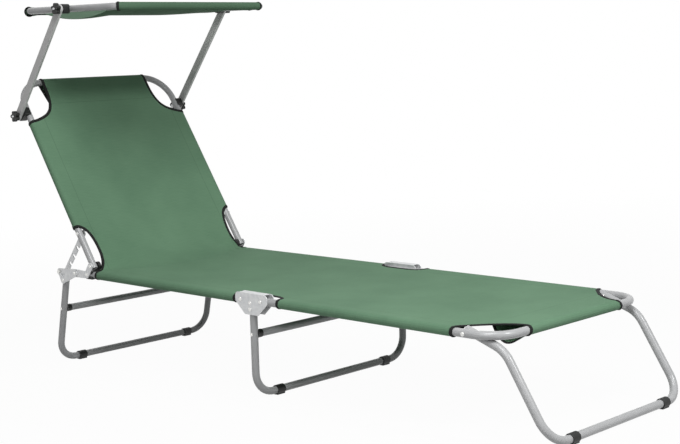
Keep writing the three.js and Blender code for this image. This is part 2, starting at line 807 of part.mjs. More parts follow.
function rearLeg() {
  const group = new THREE.Group();
  const rivet = place(-rearRivetBack, 0, -rearRivetDrop);
  const foot = place(-rearFootBack - rearLegPivot.x, 0, floorBarHeight - rearLegPivot.z);
  const top = rivet.clone().addScaledVector(rivet.clone().sub(foot).normalize(), rearLegTopOverhang);
  const corners = [
    place(top.x, rearLegHalf, top.z),
    place(foot.x, rearLegHalf, foot.z),
    place(foot.x, -rearLegHalf, foot.z),
    place(top.x, -rearLegHalf, top.z),
  ];
  const studHoles = sides.map(([, side]) => rod(rivet.x, rivet.z, holeRadius,
    side * rearLegHalf, side * (plateOuter + cutOverrun)));
  group.add(named('rear_leg', legTube(corners, [legBendRadius, legBendRadius], studHoles), tubeFinish()));
  const braceZ = braceHeight - rearLegPivot.z;
  group.add(named('rear_brace', brace(onLine(top, foot, braceZ), braceZ, rearLegHalf), tubeFinish()));
  const hookPin = adjusterPin.clone().sub(rearLegPivot);
  const noseRadius = plateEndRadius / 2;
  const toRivet = rivet.clone().sub(hookPin).normalize();
  const nose = hookPin.clone().addScaledVector(toRivet, adjusterPinRadius + gap + noseRadius);
  sides.forEach(([name, side]) => {
    const rivetFlat = flatPoint(rivet.x, rivet.z);
    const plate = joined([
      across(linkShape(flatPoint(0, 0), plateEndRadius, rivetFlat, plateEndRadius),
        side * legPlateInner, side * legPlateOuter),
      across(linkShape(rivetFlat, plateEndRadius, flatPoint(nose.x, nose.z), noseRadius),
        side * legPlateInner, side * legPlateOuter),
      ...stud(rivet.x, rivet.z, side, legPlateOuter),
    ]);
    group.add(named(`rear_leg_plate_${name}`, toGeometry(cut(plate, [throughHole(0, 0)])), plateFinish()));
    group.add(named(`rear_foot_${name}`, footSleeve(foot.x, foot.z, side, rearLegHalf), plasticFinish()));
  });
  return group;
}

function middleLeg() {
  const group = new THREE.Group();
  const foot = place(-middleFootBack - middleLegPivot.x, 0, floorBarHeight - middleLegPivot.z);
  const top = foot.clone().normalize().multiplyScalar(-legTopOverhang);
  const corners = [
    place(top.x, halfFrame, top.z),
    place(foot.x, halfFrame, foot.z),
    place(foot.x, -halfFrame, foot.z),
    place(top.x, -halfFrame, top.z),
  ];
  const tube = legTube(corners, [legBendRadius, legBendRadius], [throughHole(0, 0)]);
  group.add(named('middle_leg', tube, tubeFinish()));
  const braceZ = braceHeight - middleLegPivot.z;
  group.add(named('middle_brace', brace(onLine(top, foot, braceZ), braceZ, halfFrame), tubeFinish()));
  sides.forEach(([name, side]) => {
    group.add(named(`middle_foot_${name}`, footSleeve(foot.x, foot.z, side, halfFrame), plasticFinish()));
  });
  return group;
}

function frontLeg() {
  const group = new THREE.Group();
  const apex = place(frontApexAhead, 0, frontApexHeight).sub(frontLegPivot);
  const foot = place(frontFootAhead, 0, floorBarHeight).sub(frontLegPivot);
  const top = apex.clone().normalize().multiplyScalar(-frontLegOverhang);
  const corners = [
    place(top.x, frontLegHalf, top.z),
    place(apex.x, frontLegHalf, apex.z),
    place(foot.x, frontLegHalf, foot.z),
    place(foot.x, -frontLegHalf, foot.z),
    place(apex.x, -frontLegHalf, apex.z),
    place(top.x, -frontLegHalf, top.z),
  ];
  const radii = [frontApexRadius, legBendRadius, legBendRadius, frontApexRadius];
  group.add(named('front_leg', legTube(corners, radii, [throughHole(0, 0)]), tubeFinish()));
  sides.forEach(([name, side]) => {
    group.add(named(`front_foot_${name}`, footSleeve(foot.x, foot.z, side, frontLegHalf), plasticFinish()));
  });
  return group;
}

// Canopy arms: flat oval tubes between the lower and the upper clamp, drawn along +x
function canopyArm(side) {
  const reach = armPivot.distanceTo(canopyPivot);
  const halfWidth = armWidth / 2;
  const innerWidth = halfWidth - armWall;
  const end = flatPoint(reach, 0);
  const start = flatPoint(0, 0);
  const outside = across(linkShape(start, halfWidth, end, halfWidth), side * armInner, side * armOuter);
  const inside = across(linkShape(start, innerWidth, end, innerWidth),
    side * (armInner + armWall), side * (armOuter - armWall));
  return toGeometry(cut(toSolid(outside), [
    inside,
    throughHole(0, 0, boltRadius + pinPlay),
    throughHole(reach, 0, boltRadius + pinPlay),
  ]));
}

function canopyArms() {
  const group = new THREE.Group();
  sides.forEach(([name, side]) => {
    group.add(named(`canopy_arm_${name}`, canopyArm(side), tubeFinish()));
  });
  return group;
}

function canopyFrame() {
  const half = canopyLength / 2;
  const tube = bentTube([
    place(-half, canopyJointGap / 2, 0),
    place(-half, halfCanopy, 0),
    place(half, halfCanopy, 0),
    place(half, -halfCanopy, 0),
    place(-half, -halfCanopy, 0),
    place(-half, -canopyJointGap / 2, 0),
  ], [canopyCornerRadius, canopyCornerRadius, canopyCornerRadius, canopyCornerRadius]);
  return toGeometry(cut(toSolid(tube), [throughHole(0, 0, boltRadius + pinPlay)]));
}

// Canopy cloth: a sleeve round the front and the rear bar, and a sheet that hangs between them
function canopyCloth() {
  const half = canopyLength / 2;
  const reach = half - (sleeveInner + sleeveOuter) / 2;
  const upper = [];
  const lower = [];
  for (let i = 0; i <= canopyClothSteps; i += 1) {
    const x = -reach + (2 * reach * i) / canopyClothSteps;
    const z = -canopySag * (1 - (x / reach) ** 2);
    upper.push(new THREE.Vector2(x, z + clothThickness / 2));
    lower.push(new THREE.Vector2(x, z - clothThickness / 2));
  }
  const profile = new THREE.Shape([...lower, ...upper.reverse()]);
  const sheet = across(profile, -canopyHemWidth / 2, canopyHemWidth / 2);
  const body = joined([sheet, sleeveAcrossBed(-half, canopyHemWidth), sleeveAcrossBed(half, canopyHemWidth)]);
  const hems = sides.map(([, side]) => {
    const outline = new THREE.Shape();
    outline.moveTo(-half + sleeveOuter, side * canopyHemWidth / 2);
    outline.quadraticCurveTo(0, side * (canopyHemWidth / 2 - 2 * canopyHemInset),
      half - sleeveOuter, side * canopyHemWidth / 2);
    outline.lineTo(half - sleeveOuter, side * (canopyHemWidth / 2 + cutOverrun));
    outline.lineTo(-half + sleeveOuter, side * (canopyHemWidth / 2 + cutOverrun));
    const tool = new THREE.ExtrudeGeometry(outline, { depth: 4 * canopySag, bevelEnabled: false });
    tool.translate(0, 0, -2 * canopySag);
    return tool;
  });
  return toGeometry(cut(body, hems));
}

function canopy() {
  const group = new THREE.Group();
  const half = canopyLength / 2;
  group.add(named('canopy_frame', canopyFrame(), tubeFinish()));
  const joinerRadius = (tubeRadius - tubeWall) * Math.cos(Math.PI / boreSides) - pinPlay;
  const joiner = rod(-half, 0, joinerRadius, -joinerLength / 2, joinerLength / 2, boreSides);
  group.add(named('canopy_frame_joiner', joiner, plateFinish()));
  group.add(named('canopy_cloth', canopyCloth(), clothFinish()));
  sides.forEach(([name, side]) => {
    group.add(named(`canopy_spacer_${name}`, toGeometry(canopySpacer(side)), plasticFinish()));
    group.add(named(`canopy_bolt_${name}`, clampBolt(0, side, halfCanopy - tubeRadius), plateFinish()));
    group.add(named(`canopy_knob_${name}`, starKnob(side), plasticFinish()));
  });
  return group;
}

// Assembly at the photographed stance
const lounger = new THREE.Group();

function stand(group, where, turn = 0) {
  group.position.copy(where);
  group.rotation.y = turn;
  lounger.add(group);
}

stand(seatSection(), place(0, 0, bedHeight), bedSlope);
stand(footSection(), place(0, 0, bedHeight), bedSlope);
stand(backrest(), hinge, reclineAngle);
stand(rearLeg(), rearLegPivot);
stand(middleLeg(), middleLegPivot);
stand(frontLeg(), frontLegPivot);

const barDrop = adjusterPin.clone().sub(adjusterPivot);
const adjusters = new THREE.Group();
sides.forEach(([name, side]) => {
  adjusters.add(named(`adjuster_bar_${name}`, adjusterBar(side), plateFinish()));
});
stand(adjusters, adjusterPivot, -Math.atan2(-barDrop.z, -barDrop.x));

const armRun = canopyPivot.clone().sub(armPivot);
stand(canopyArms(), armPivot, -Math.atan2(armRun.z, armRun.x));
stand(canopy(), canopyPivot, canopyTilt);

// The origin is the middle of the footprint, on the floor
const bounds = new THREE.Box3().setFromObject(lounger, true);
lounger.position.set(-(bounds.min.x + bounds.max.x) / 2, -(bounds.min.y + bounds.max.y) / 2, -bounds.min.z);

export default lounger;
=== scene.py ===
import json
import math

import bmesh
import bpy
from mathutils import Matrix, Vector


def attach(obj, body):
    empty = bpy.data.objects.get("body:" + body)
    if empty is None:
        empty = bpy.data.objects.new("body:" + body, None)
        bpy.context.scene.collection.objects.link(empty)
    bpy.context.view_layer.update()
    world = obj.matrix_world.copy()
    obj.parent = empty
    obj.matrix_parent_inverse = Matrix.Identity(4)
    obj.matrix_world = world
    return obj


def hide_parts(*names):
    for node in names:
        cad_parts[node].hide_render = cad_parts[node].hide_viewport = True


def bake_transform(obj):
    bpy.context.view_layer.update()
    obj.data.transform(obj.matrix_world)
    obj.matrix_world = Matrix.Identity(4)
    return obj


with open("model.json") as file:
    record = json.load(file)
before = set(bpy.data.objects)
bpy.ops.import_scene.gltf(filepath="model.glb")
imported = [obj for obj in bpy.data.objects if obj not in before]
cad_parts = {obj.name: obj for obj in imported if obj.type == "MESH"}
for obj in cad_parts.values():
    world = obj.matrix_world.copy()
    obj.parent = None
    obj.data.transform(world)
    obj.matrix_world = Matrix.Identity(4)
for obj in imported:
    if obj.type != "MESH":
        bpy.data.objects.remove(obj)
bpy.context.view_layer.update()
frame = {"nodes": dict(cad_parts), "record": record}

# Sizes of the frame, in metres, as the part's source has them
GAP = 0.0003
TUBE, TUBE_WALL = 0.0095, 0.001
HALF = 0.270
INNER_FACE, OUTER_FACE = HALF - TUBE, HALF + TUBE
BED_HEIGHT, BED_SLOPE = 0.250, math.radians(1.8)
RECLINE = math.radians(58)
SEAT_REAR, SEAT_FRONT = 0.697, 0.020
FOOT_REAR, FOOT_END, FOOT_BEND = 0.021, 0.748, 0.070
BACK_TOP, BACK_STUB, BACK_BEND = 0.610, 0.008, 0.082
HINGE_BACK, HINGE_RISE = 0.669, 0.025
ADJUSTER_REACH = 0.105
HOOK_BACK, HOOK_DROP = 0.822, 0.003
SEAT_RIVET_BACK, LEG_PIVOT_BACK = 0.688, 0.742
FOOT_PIVOT = 0.033
MIDDLE_LEG_BACK, MIDDLE_LEG_DROP = 0.005, 0.022
FRONT_PIVOT, FRONT_LEG_INSET = 0.661, 0.0006
FRONT_APEX_AHEAD, FRONT_APEX_HEIGHT = 0.748, 0.1965
REAR_FOOT_BACK, MIDDLE_FOOT_BACK, FRONT_FOOT_AHEAD = 0.868, 0.014, 0.856
REAR_LEG_TOP, MIDDLE_LEG_TOP, FRONT_LEG_TOP = 0.007, 0.008, 0.012
LEG_BEND, LEG_RIVET = 0.056, (-0.0615, -0.0235)
BRACE_HEIGHT, FLOOR_BAR, FOOT_SLEEVE_INSET = 0.165, 0.0125, 0.076
CLAMP_REACH, CLAMP_DROP = 0.510, 0.016
CANOPY_ACROSS, CANOPY_ALONG, CANOPY_BEND = 0.260, 0.217, 0.026
CANOPY_BACK, CANOPY_HEIGHT, CANOPY_TILT = 0.703, 1.008, math.radians(2.5)
ARM_INNER, ARM_OUTER = 0.290, 0.298
KNOB_HEIGHT, BOLT_TIP = 0.013, 0.004
PLATE, CHANNEL = 0.0025, 0.002
BAR_STANDOFF, BAR_THICKNESS = 0.0023, 0.003
PIN, PIN_HEAD, HEAD_RISE = 0.003, 0.005, 0.002
SIDES = (("left", 1), ("right", -1))

# Faces across the bed, measured from its middle
PLATE_INNER = OUTER_FACE + GAP
PLATE_OUTER = PLATE_INNER + PLATE
LEG_PLATE_INNER = PLATE_OUTER + GAP
LEG_PLATE_OUTER = LEG_PLATE_INNER + PLATE
REAR_LEG_HALF = PLATE_OUTER - TUBE
FRONT_LEG_HALF = INNER_FACE - FRONT_LEG_INSET - TUBE
BAR_OUTER = INNER_FACE - BAR_STANDOFF
BAR_INNER = BAR_OUTER - BAR_THICKNESS
KNOB_INNER = ARM_OUTER + GAP
KNOB_OUTER = KNOB_INNER + KNOB_HEIGHT

# Sizes that are taken from the photograph alone
FRONT_LEG_BEND = 0.070
FOOT_SLEEVE, FOOT_SLEEVE_LENGTH, FOOT_PAD, FOOT_SLEEVE_BEVEL = 0.0118, 0.026, 0.0072, 0.0008
ARM_HALF_WIDTH = 0.0122
COLLAR, COLLAR_RIM, COLLAR_LENGTH, COLLAR_CHAMFER = 0.0104, 0.0101, 0.012, 0.001
SCREW_HEAD, SCREW_RISE = 0.0045, 0.0022

# Steps round the meshes, and the small measures that they share
TUBE_SIDES, DISC_SIDES, KNOB_SIDES, HEAD_STEPS, CORNER_STEPS = 28, 32, 80, 5, 6
BORE_DEPTH, HEAD_RIM, HEAD_SUNK, CUT_REACH = 0.02, 0.0004, 0.0002, 0.05
# the far round end of a bar or of a notch is larger by this much
FLARE = 0.00001

# How far the bed's own origin stands ahead of the middle of the part
AHEAD = 0.067035


# Places: each section is drawn lying flat, as in the part's source, and stood up by one of these
def turned_about_y(angle, x, z):
    return Matrix.Translation((x, 0, z)) @ Matrix.Rotation(angle, 4, "Y")


def lying_along(run, start):
    return turned_about_y(-math.atan2(run.z, run.x), start.x, start.z)


BED = turned_about_y(BED_SLOPE, AHEAD, BED_HEIGHT)


def on_bed(along, rise):
    return BED @ Vector((along, 0, rise))


HINGE = on_bed(-HINGE_BACK, HINGE_RISE)
BACKREST = turned_about_y(RECLINE, HINGE.x, HINGE.z)


def on_backrest(up, forward):
    return BACKREST @ Vector((-up, 0, forward))


HOOK = on_bed(-HOOK_BACK, -HOOK_DROP)
ADJUSTER = on_backrest(ADJUSTER_REACH, 0)
REAR_LEG = on_bed(-LEG_PIVOT_BACK, 0)
MIDDLE_LEG = on_bed(-MIDDLE_LEG_BACK, -MIDDLE_LEG_DROP)
FRONT_LEG = on_bed(FRONT_PIVOT, 0)
ARM_FOOT = on_backrest(CLAMP_REACH, -CLAMP_DROP)
CANOPY_PIVOT = Vector((AHEAD - CANOPY_BACK, 0, CANOPY_HEIGHT))
CANOPY = turned_about_y(CANOPY_TILT, CANOPY_PIVOT.x, CANOPY_PIVOT.z)
ARM_RUN, BAR_RUN = CANOPY_PIVOT - ARM_FOOT, ADJUSTER - HOOK
ARM, BAR = lying_along(ARM_RUN, ARM_FOOT), lying_along(BAR_RUN, ADJUSTER)
FLAT = Matrix.Identity(4)


# Colours and nodes
def linear(code):
    parts = [int(code[i:i + 2], 16) / 255 for i in (1, 3, 5)]
    return [c / 12.92 if c <= 0.04045 else ((c + 0.055) / 1.055) ** 2.4 for c in parts] + [1.0]


def add(tree, kind, settings=None, sockets=None, stops=()):
    """Adds a node with its settings, its values and links and, for a ramp, its places and colours."""
    made = tree.nodes.new(kind)
    for name, value in (settings or {}).items():
        setattr(made, name, value)
    for name, value in (sockets or {}).items():
        if isinstance(value, bpy.types.NodeSocket):
            tree.links.new(value, made.inputs[name])
        else:
            made.inputs[name].default_value = value
    for i, (place, colour) in enumerate(stops):
        made.color_ramp.elements[i].position = place
        made.color_ramp.elements[i].color = linear(colour)
    return made


def new_material(name):
    made = bpy.data.materials.new(name)
    made.use_nodes = True
    made.node_tree.nodes.clear()
    return made, made.node_tree


def output(tree, shader):
    add(tree, "ShaderNodeOutputMaterial", sockets={"Surface": shader})


# Steel tube with silver lacquer: sprayed, so the grey is even, with fine flake and soft gloss
def silver_lacquer(name, dark, light):
    made, tree = new_material(name)
    place = add(tree, "ShaderNodeTexCoord").outputs["Object"]
    # flake of about 0.8 mm, drawn at 2 mm so that it shows
    flake = add(tree, "ShaderNodeTexNoise", sockets={"Vector": place, "Scale": 500.0, "Detail": 1.0})
    # handling marks some 30 mm across
    wear = add(tree, "ShaderNodeTexNoise", sockets={"Vector": place, "Scale": 32.0, "Detail": 2.0})
    tone = add(tree, "ShaderNodeValToRGB", sockets={"Fac": wear.outputs["Fac"]},
               stops=((0.3, dark), (0.7, light)))
    rough = add(tree, "ShaderNodeMapRange", sockets={
        "Value": flake.outputs["Fac"], "From Min": 0.3, "From Max": 0.7, "To Min": 0.25, "To Max": 0.27})
    bump = add(tree, "ShaderNodeBump", sockets={
        "Height": flake.outputs["Fac"], "Strength": 0.001, "Distance": 0.0002})
    steel = add(tree, "ShaderNodeBsdfPrincipled", sockets={
        "Base Color": tone.outputs["Color"], "Metallic": 0.05, "Roughness": rough.outputs["Result"],
        "Specular IOR Level": 0.25, "Normal": bump.outputs["Normal"]})
    output(tree, steel.outputs["BSDF"])
    return made


# Pressed sheet steel, zinc plated: paler than the tube, cloudy, with a satin shine
def zinc_plated_pressing():
    made, tree = new_material("zinc_plated_pressing")
    place = add(tree, "ShaderNodeTexCoord").outputs["Object"]
    # clouds of the plating, 11 mm across
    cloud = add(tree, "ShaderNodeTexNoise", sockets={"Vector": place, "Scale": 90.0, "Detail": 5.0})
    tone = add(tree, "ShaderNodeValToRGB", sockets={"Fac": cloud.outputs["Fac"]},
               stops=((0.3, "#d2d4d6"), (0.7, "#e6e7e7")))
    rough = add(tree, "ShaderNodeMapRange", sockets={
        "Value": cloud.outputs["Fac"], "From Min": 0.3, "From Max": 0.7, "To Min": 0.36, "To Max": 0.5})
    bump = add(tree, "ShaderNodeBump", sockets={
        "Height": cloud.outputs["Fac"], "Strength": 0.08, "Distance": 0.0005})
    steel = add(tree, "ShaderNodeBsdfPrincipled", sockets={
        "Base Color": tone.outputs["Color"], "Metallic": 0.45, "Roughness": rough.outputs["Result"],
        "Normal": bump.outputs["Normal"]})
    output(tree, steel.outputs["BSDF"])
    return made


# Rivets and pins of nickelled steel: set by a press, so they are bright and slightly dented
def nickelled_rivet():
    made, tree = new_material("nickelled_rivet")
    place = add(tree, "ShaderNodeTexCoord").outputs["Object"]
    # dents of the press, 2.5 mm across
    dents = add(tree, "ShaderNodeTexNoise", sockets={"Vector": place, "Scale": 400.0, "Detail": 3.0})
    rough = add(tree, "ShaderNodeMapRange", sockets={
        "Value": dents.outputs["Fac"], "From Min": 0.3, "From Max": 0.7, "To Min": 0.18, "To Max": 0.34})
    bump = add(tree, "ShaderNodeBump", sockets={
        "Height": dents.outputs["Fac"], "Strength": 0.1, "Distance": 0.0004})
    steel = add(tree, "ShaderNodeBsdfPrincipled", sockets={
        "Base Color": linear("#e2e2df"), "Metallic": 0.8, "Roughness": rough.outputs["Result"],
        "Normal": bump.outputs["Normal"]})
    output(tree, steel.outputs["BSDF"])
    return made


# Black nylon, injection moulded with a spark-eroded grain: matt, a little lighter where it is worn
def moulded_black_nylon():
    made, tree = new_material("moulded_black_nylon")
    place = add(tree, "ShaderNodeTexCoord").outputs["Object"]
    # grain of 0.4 mm, drawn at 1 mm so that it shows
    grain = add(tree, "ShaderNodeTexNoise", sockets={"Vector": place, "Scale": 1000.0, "Detail": 2.0})
    # worn patches some 17 mm across
    wear = add(tree, "ShaderNodeTexNoise", sockets={"Vector": place, "Scale": 60.0, "Detail": 3.0})
    tone = add(tree, "ShaderNodeValToRGB", sockets={"Fac": wear.outputs["Fac"]},
               stops=((0.4, "#101211"), (0.75, "#1c1e1d")))
    bump = add(tree, "ShaderNodeBump", sockets={
        "Height": grain.outputs["Fac"], "Strength": 0.2, "Distance": 0.0003})
    nylon = add(tree, "ShaderNodeBsdfPrincipled", sockets={
        "Base Color": tone.outputs["Color"], "Roughness": 0.5, "Specular IOR Level": 0.4,
        "Normal": bump.outputs["Normal"]})
    output(tree, nylon.outputs["BSDF"])
    return made


# Thread: a sewn line is 1 where the coordinate lies within a stitch of its place
STITCH = 0.004


def sewn_line(tree, coordinate, place, along):
    away = add(tree, "ShaderNodeMath", settings={"operation": "SUBTRACT"}, sockets={0: coordinate, 1: place})
    away = add(tree, "ShaderNodeMath", settings={"operation": "ABSOLUTE"}, sockets={0: away.outputs["Value"]})
    near = add(tree, "ShaderNodeMapRange", sockets={
        "Value": away.outputs["Value"], "From Min": 0.0006, "From Max": 0.0016, "To Min": 1.0, "To Max": 0.0})
    phase = add(tree, "ShaderNodeMath", settings={"operation": "MULTIPLY"}, sockets={
        0: along, 1: 2 * math.pi / STITCH})
    beat = add(tree, "ShaderNodeMath", settings={"operation": "SINE"}, sockets={0: phase.outputs["Value"]})
    stitch = add(tree, "ShaderNodeMapRange", sockets={
        "Value": beat.outputs["Value"], "From Min": -0.9, "From Max": -0.2, "To Min": 0.35, "To Max": 1.0})
    return add(tree, "ShaderNodeMath", settings={"operation": "MULTIPLY"}, sockets={
        0: near.outputs["Result"], 1: stitch.outputs["Result"]}).outputs["Value"]


# The bands of a wave texture of scale 1 lie this far apart
WAVE_PITCH = math.pi / 10


# Polyester canvas, plain woven and dyed green: matt, with a soft sheen at grazing angles
def woven_green_canvas(name, side_seams, cross_seams, dark, light):
    made, tree = new_material(name)
    cloth = add(tree, "ShaderNodeUVMap", settings={"uv_map": "cloth"}).outputs["UV"]
    # threads 0.6 mm apart, drawn 4.74 mm apart so that they show
    threads = []
    for direction in ("X", "Y"):
        threads.append(add(tree, "ShaderNodeTexWave", settings={"bands_direction": direction}, sockets={
            "Vector": cloth, "Scale": WAVE_PITCH / 0.00474, "Distortion": 0.6, "Detail": 1.0,
            "Detail Scale": 2.0}))
    weave = add(tree, "ShaderNodeMath", settings={"operation": "MULTIPLY"}, sockets={
        0: threads[0].outputs["Fac"], 1: threads[1].outputs["Fac"]})
    # slubs are thick places in the yarn, 33 mm wide and 4 mm high
    slub = add(tree, "ShaderNodeMapping", sockets={"Vector": cloth, "Scale": (30.0, 260.0, 1.0)})
    slubs = add(tree, "ShaderNodeTexNoise", sockets={
        "Vector": slub.outputs["Vector"], "Scale": 1.0, "Detail": 3.0})
    # faded clouds some 200 mm across
    cloud = add(tree, "ShaderNodeTexNoise", sockets={"Vector": cloth, "Scale": 5.0, "Detail": 3.0})
    mixed = add(tree, "ShaderNodeMath", settings={"operation": "MULTIPLY_ADD"}, sockets={
        0: slubs.outputs["Fac"], 1: 0.35, 2: cloud.outputs["Fac"]})
    fleck = add(tree, "ShaderNodeMath", settings={"operation": "MULTIPLY_ADD"}, sockets={
        0: weave.outputs["Value"], 1: 0.25, 2: mixed.outputs["Value"]})
    tone = add(tree, "ShaderNodeValToRGB", sockets={"Fac": fleck.outputs["Value"]},
               stops=((0.45, dark), (1.0, light)))
    parts = add(tree, "ShaderNodeSeparateXYZ", sockets={"Vector": cloth})
    across = add(tree, "ShaderNodeMath", settings={"operation": "ABSOLUTE"}, sockets={0: parts.outputs["X"]})
    lines = [sewn_line(tree, across.outputs["Value"], place, parts.outputs["Y"]) for place in side_seams]
    lines += [sewn_line(tree, parts.outputs["Y"], place, parts.outputs["X"]) for place in cross_seams]
    seams = lines[0]
    for line in lines[1:]:
        seams = add(tree, "ShaderNodeMath", settings={"operation": "MAXIMUM"}, sockets={
            0: seams, 1: line}).outputs["Value"]
    share = add(tree, "ShaderNodeMath", settings={"operation": "MULTIPLY"}, sockets={0: seams, 1: 0.35})
    # inputs 6 and 7 of this node are its two colours
    sewn = add(tree, "ShaderNodeMix", settings={"data_type": "RGBA"}, sockets={
        "Factor": share.outputs["Value"], 6: tone.outputs["Color"], 7: linear("#3b5341")})
    height = add(tree, "ShaderNodeMath", settings={"operation": "MULTIPLY_ADD"}, sockets={
        0: seams, 1: -1.5, 2: weave.outputs["Value"]})
    bump = add(tree, "ShaderNodeBump", sockets={
        "Height": height.outputs["Value"], "Strength": 0.25, "Distance": 0.0004})
    canvas = add(tree, "ShaderNodeBsdfPrincipled", sockets={
        "Base Color": sewn.outputs[2], "Roughness": 0.8, "IOR": 1.45, "Specular IOR Level": 0.3,
        "Sheen Weight": 0.1, "Sheen Roughness": 0.4, "Sheen Tint": linear("#b8d4be"),
        "Normal": bump.outputs["Normal"]})
    output(tree, canvas.outputs["BSDF"])
    return made


# Binding: ribbed polyester tape, folded over the edge and sewn
def black_binding_tape():
    made, tree = new_material("black_binding_tape")
    along = add(tree, "ShaderNodeUVMap", settings={"uv_map": "cloth"}).outputs["UV"]
    # ribs 1 mm apart along the tape, drawn 4.94 mm apart so that they show
    ribs = add(tree, "ShaderNodeTexWave", settings={"bands_direction": "Y"}, sockets={
        "Vector": along, "Scale": WAVE_PITCH / 0.00494, "Distortion": 0.3})
    tone = add(tree, "ShaderNodeValToRGB", sockets={"Fac": ribs.outputs["Fac"]},
               stops=((0.0, "#0e100f"), (1.0, "#191b1a")))
    bump = add(tree, "ShaderNodeBump", sockets={
        "Height": ribs.outputs["Fac"], "Strength": 0.3, "Distance": 0.0004})
    tape = add(tree, "ShaderNodeBsdfPrincipled", sockets={
        "Base Color": tone.outputs["Color"], "Roughness": 0.85, "Specular IOR Level": 0.3,
        "Normal": bump.outputs["Normal"]})
    output(tree, tape.outputs["BSDF"])
    return made


tube_lacquer = silver_lacquer("silver_lacquered_tube", "#adaeaf", "#b3b4b5")
# the flattened arms have the tubes' own lacquer, drawn a shade paler than the round tubes: painted light for
# the light their broad faces reflect
arm_lacquer_painted_lighter = silver_lacquer("silver_lacquered_arm_painted_lighter", "#c8c8c8", "#cececd")
plate_zinc = zinc_plated_pressing()
rivet_nickel = nickelled_rivet()
black_nylon = moulded_black_nylon()
binding_tape = black_binding_tape()


# Finished pieces
def finished(name, bm, body, material, place=FLAT, replaces=(), smooth=35.0, bevel=0.0, closed=True):
    """Puts a mesh in its place, shades it and ties it to its body. A closed one is made to face outwards."""
    bmesh.ops.transform(bm, matrix=place, verts=bm.verts)
    if closed:
        bmesh.ops.recalc_face_normals(bm, faces=bm.faces)
    bm.edges.index_update()
    rims = [e.index for e in bm.edges if e.is_boundary]
    mesh = bpy.data.meshes.new(name)
    bm.to_mesh(mesh)
    bm.free()
    mesh.shade_smooth()
    mesh.set_sharp_from_angle(angle=math.radians(smooth))
    for i in rims:
        mesh.edges[i].use_edge_sharp = True
    piece = bpy.data.objects.new(name, mesh)
    bpy.context.scene.collection.objects.link(piece)
    mesh.materials.append(material)
    if bevel:
        edge = piece.modifiers.new("edge", "BEVEL")
        edge.width, edge.segments, edge.limit_method = bevel, 2, "ANGLE"
        edge.angle_limit = math.radians(40)
        edge.harden_normals = True
    if body:
        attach(piece, body)
    if replaces:
        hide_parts(*replaces)
    return piece


def pushed_out(bm, edges, step):
    """Extrudes a ring of edges by a step and gives the new ring."""
    new = bmesh.ops.extrude_edge_only(bm, edges=edges)["geom"]
    verts = [v for v in new if isinstance(v, bmesh.types.BMVert)]
    bmesh.ops.translate(bm, verts=verts, vec=step)
    chosen = set(verts)
    return [e for e in bm.edges if e.verts[0] in chosen and e.verts[1] in chosen]


def hollow_end(bm, edges, inward):
    """Closes a tube end with a rim as thick as the wall and a dark bore behind it."""
    face = bmesh.ops.contextual_create(bm, geom=edges)["faces"][0]
    bmesh.ops.inset_individual(bm, faces=[face], thickness=TUBE_WALL, use_even_offset=True)
    moved = bmesh.ops.extrude_discrete_faces(bm, faces=[face])["faces"]
    bmesh.ops.translate(bm, verts=moved[0].verts, vec=inward * BORE_DEPTH)


def bent_tube(corners, bends):
    """A tube along straight runs and round bends, made by extruding and spinning one ring."""
    bm = bmesh.new()
    points = [Vector(c) for c in corners]
    heading = (points[1] - points[0]).normalized()
    place = Matrix.Translation(points[0]) @ heading.to_track_quat("Z", "Y").to_matrix().to_4x4()
    bmesh.ops.create_circle(bm, segments=TUBE_SIDES, radius=TUBE, matrix=place)
    ring = list(bm.edges)
    first, here = ring, points[0]
    for i, corner in enumerate(points[1:-1]):
        inward = (corner - points[i]).normalized()
        outward = (points[i + 2] - corner).normalized()
        turn = inward.angle(outward)
        reach = bends[i] * math.tan(turn / 2)
        start = corner - inward * reach
        ring = pushed_out(bm, ring, start - here)
        centre = start + (outward - inward * outward.dot(inward)).normalized() * bends[i]
        verts = list({v for e in ring for v in e.verts})
        steps = max(4, round(math.degrees(turn) / 7.5))
        spun = bmesh.ops.spin(bm, geom=verts + ring, cent=centre, axis=inward.cross(outward).normalized(),
                              angle=turn, steps=steps, use_duplicate=False)
        ring = [e for e in spun["geom_last"] if isinstance(e, bmesh.types.BMEdge)]
        here = corner + outward * reach
    ring = pushed_out(bm, ring, points[-1] - here)
    hollow_end(bm, first, heading)
    hollow_end(bm, ring, (points[-2] - points[-1]).normalized())
    return bm


# Side view outlines, as (x, z)
def disc_outline(radius):
    turns = [2 * math.pi * i / DISC_SIDES for i in range(DISC_SIDES)]
    return [(radius * math.cos(turn), radius * math.sin(turn)) for turn in turns]


def rectangle(rear, low, front, high):
    return [(rear, low), (front, low), (front, high), (rear, high)]


def link_outline(a, radius_a, b, radius_b, steps=14):
    """The outline of two discs and the straight edges that touch both."""
    along = math.atan2(b[1] - a[1], b[0] - a[0])
    spread = math.acos((radius_a - radius_b) / math.dist(a, b))
    points = []
    for centre, radius, start, end in ((a, radius_a, along + spread, along + 2 * math.pi - spread),
                                       (b, radius_b, along - spread, along + spread)):
        for i in range(steps + 1):
            turn = start + (end - start) * i / steps
            points.append((centre[0] + radius * math.cos(turn), centre[1] + radius * math.sin(turn)))
    return points


def rounded_outline(corners, radii):
    """An outline with each corner rounded to its own radius."""
    points = []
    count = len(corners)
    for i in range(count):
        here = Vector(corners[i])
        inward = (here - Vector(corners[i - 1])).normalized()
        outward = (Vector(corners[(i + 1) % count]) - here).normalized()
        turn = inward.angle(outward)
        reach = radii[i] * math.tan(turn / 2)
        start, end = here - inward * reach, here + outward * reach
        for k in range(CORNER_STEPS + 1):
            share = k / CORNER_STEPS
            points.append(tuple(start * (1 - share) ** 2 + here * 2 * share * (1 - share) + end * share ** 2))
    return points


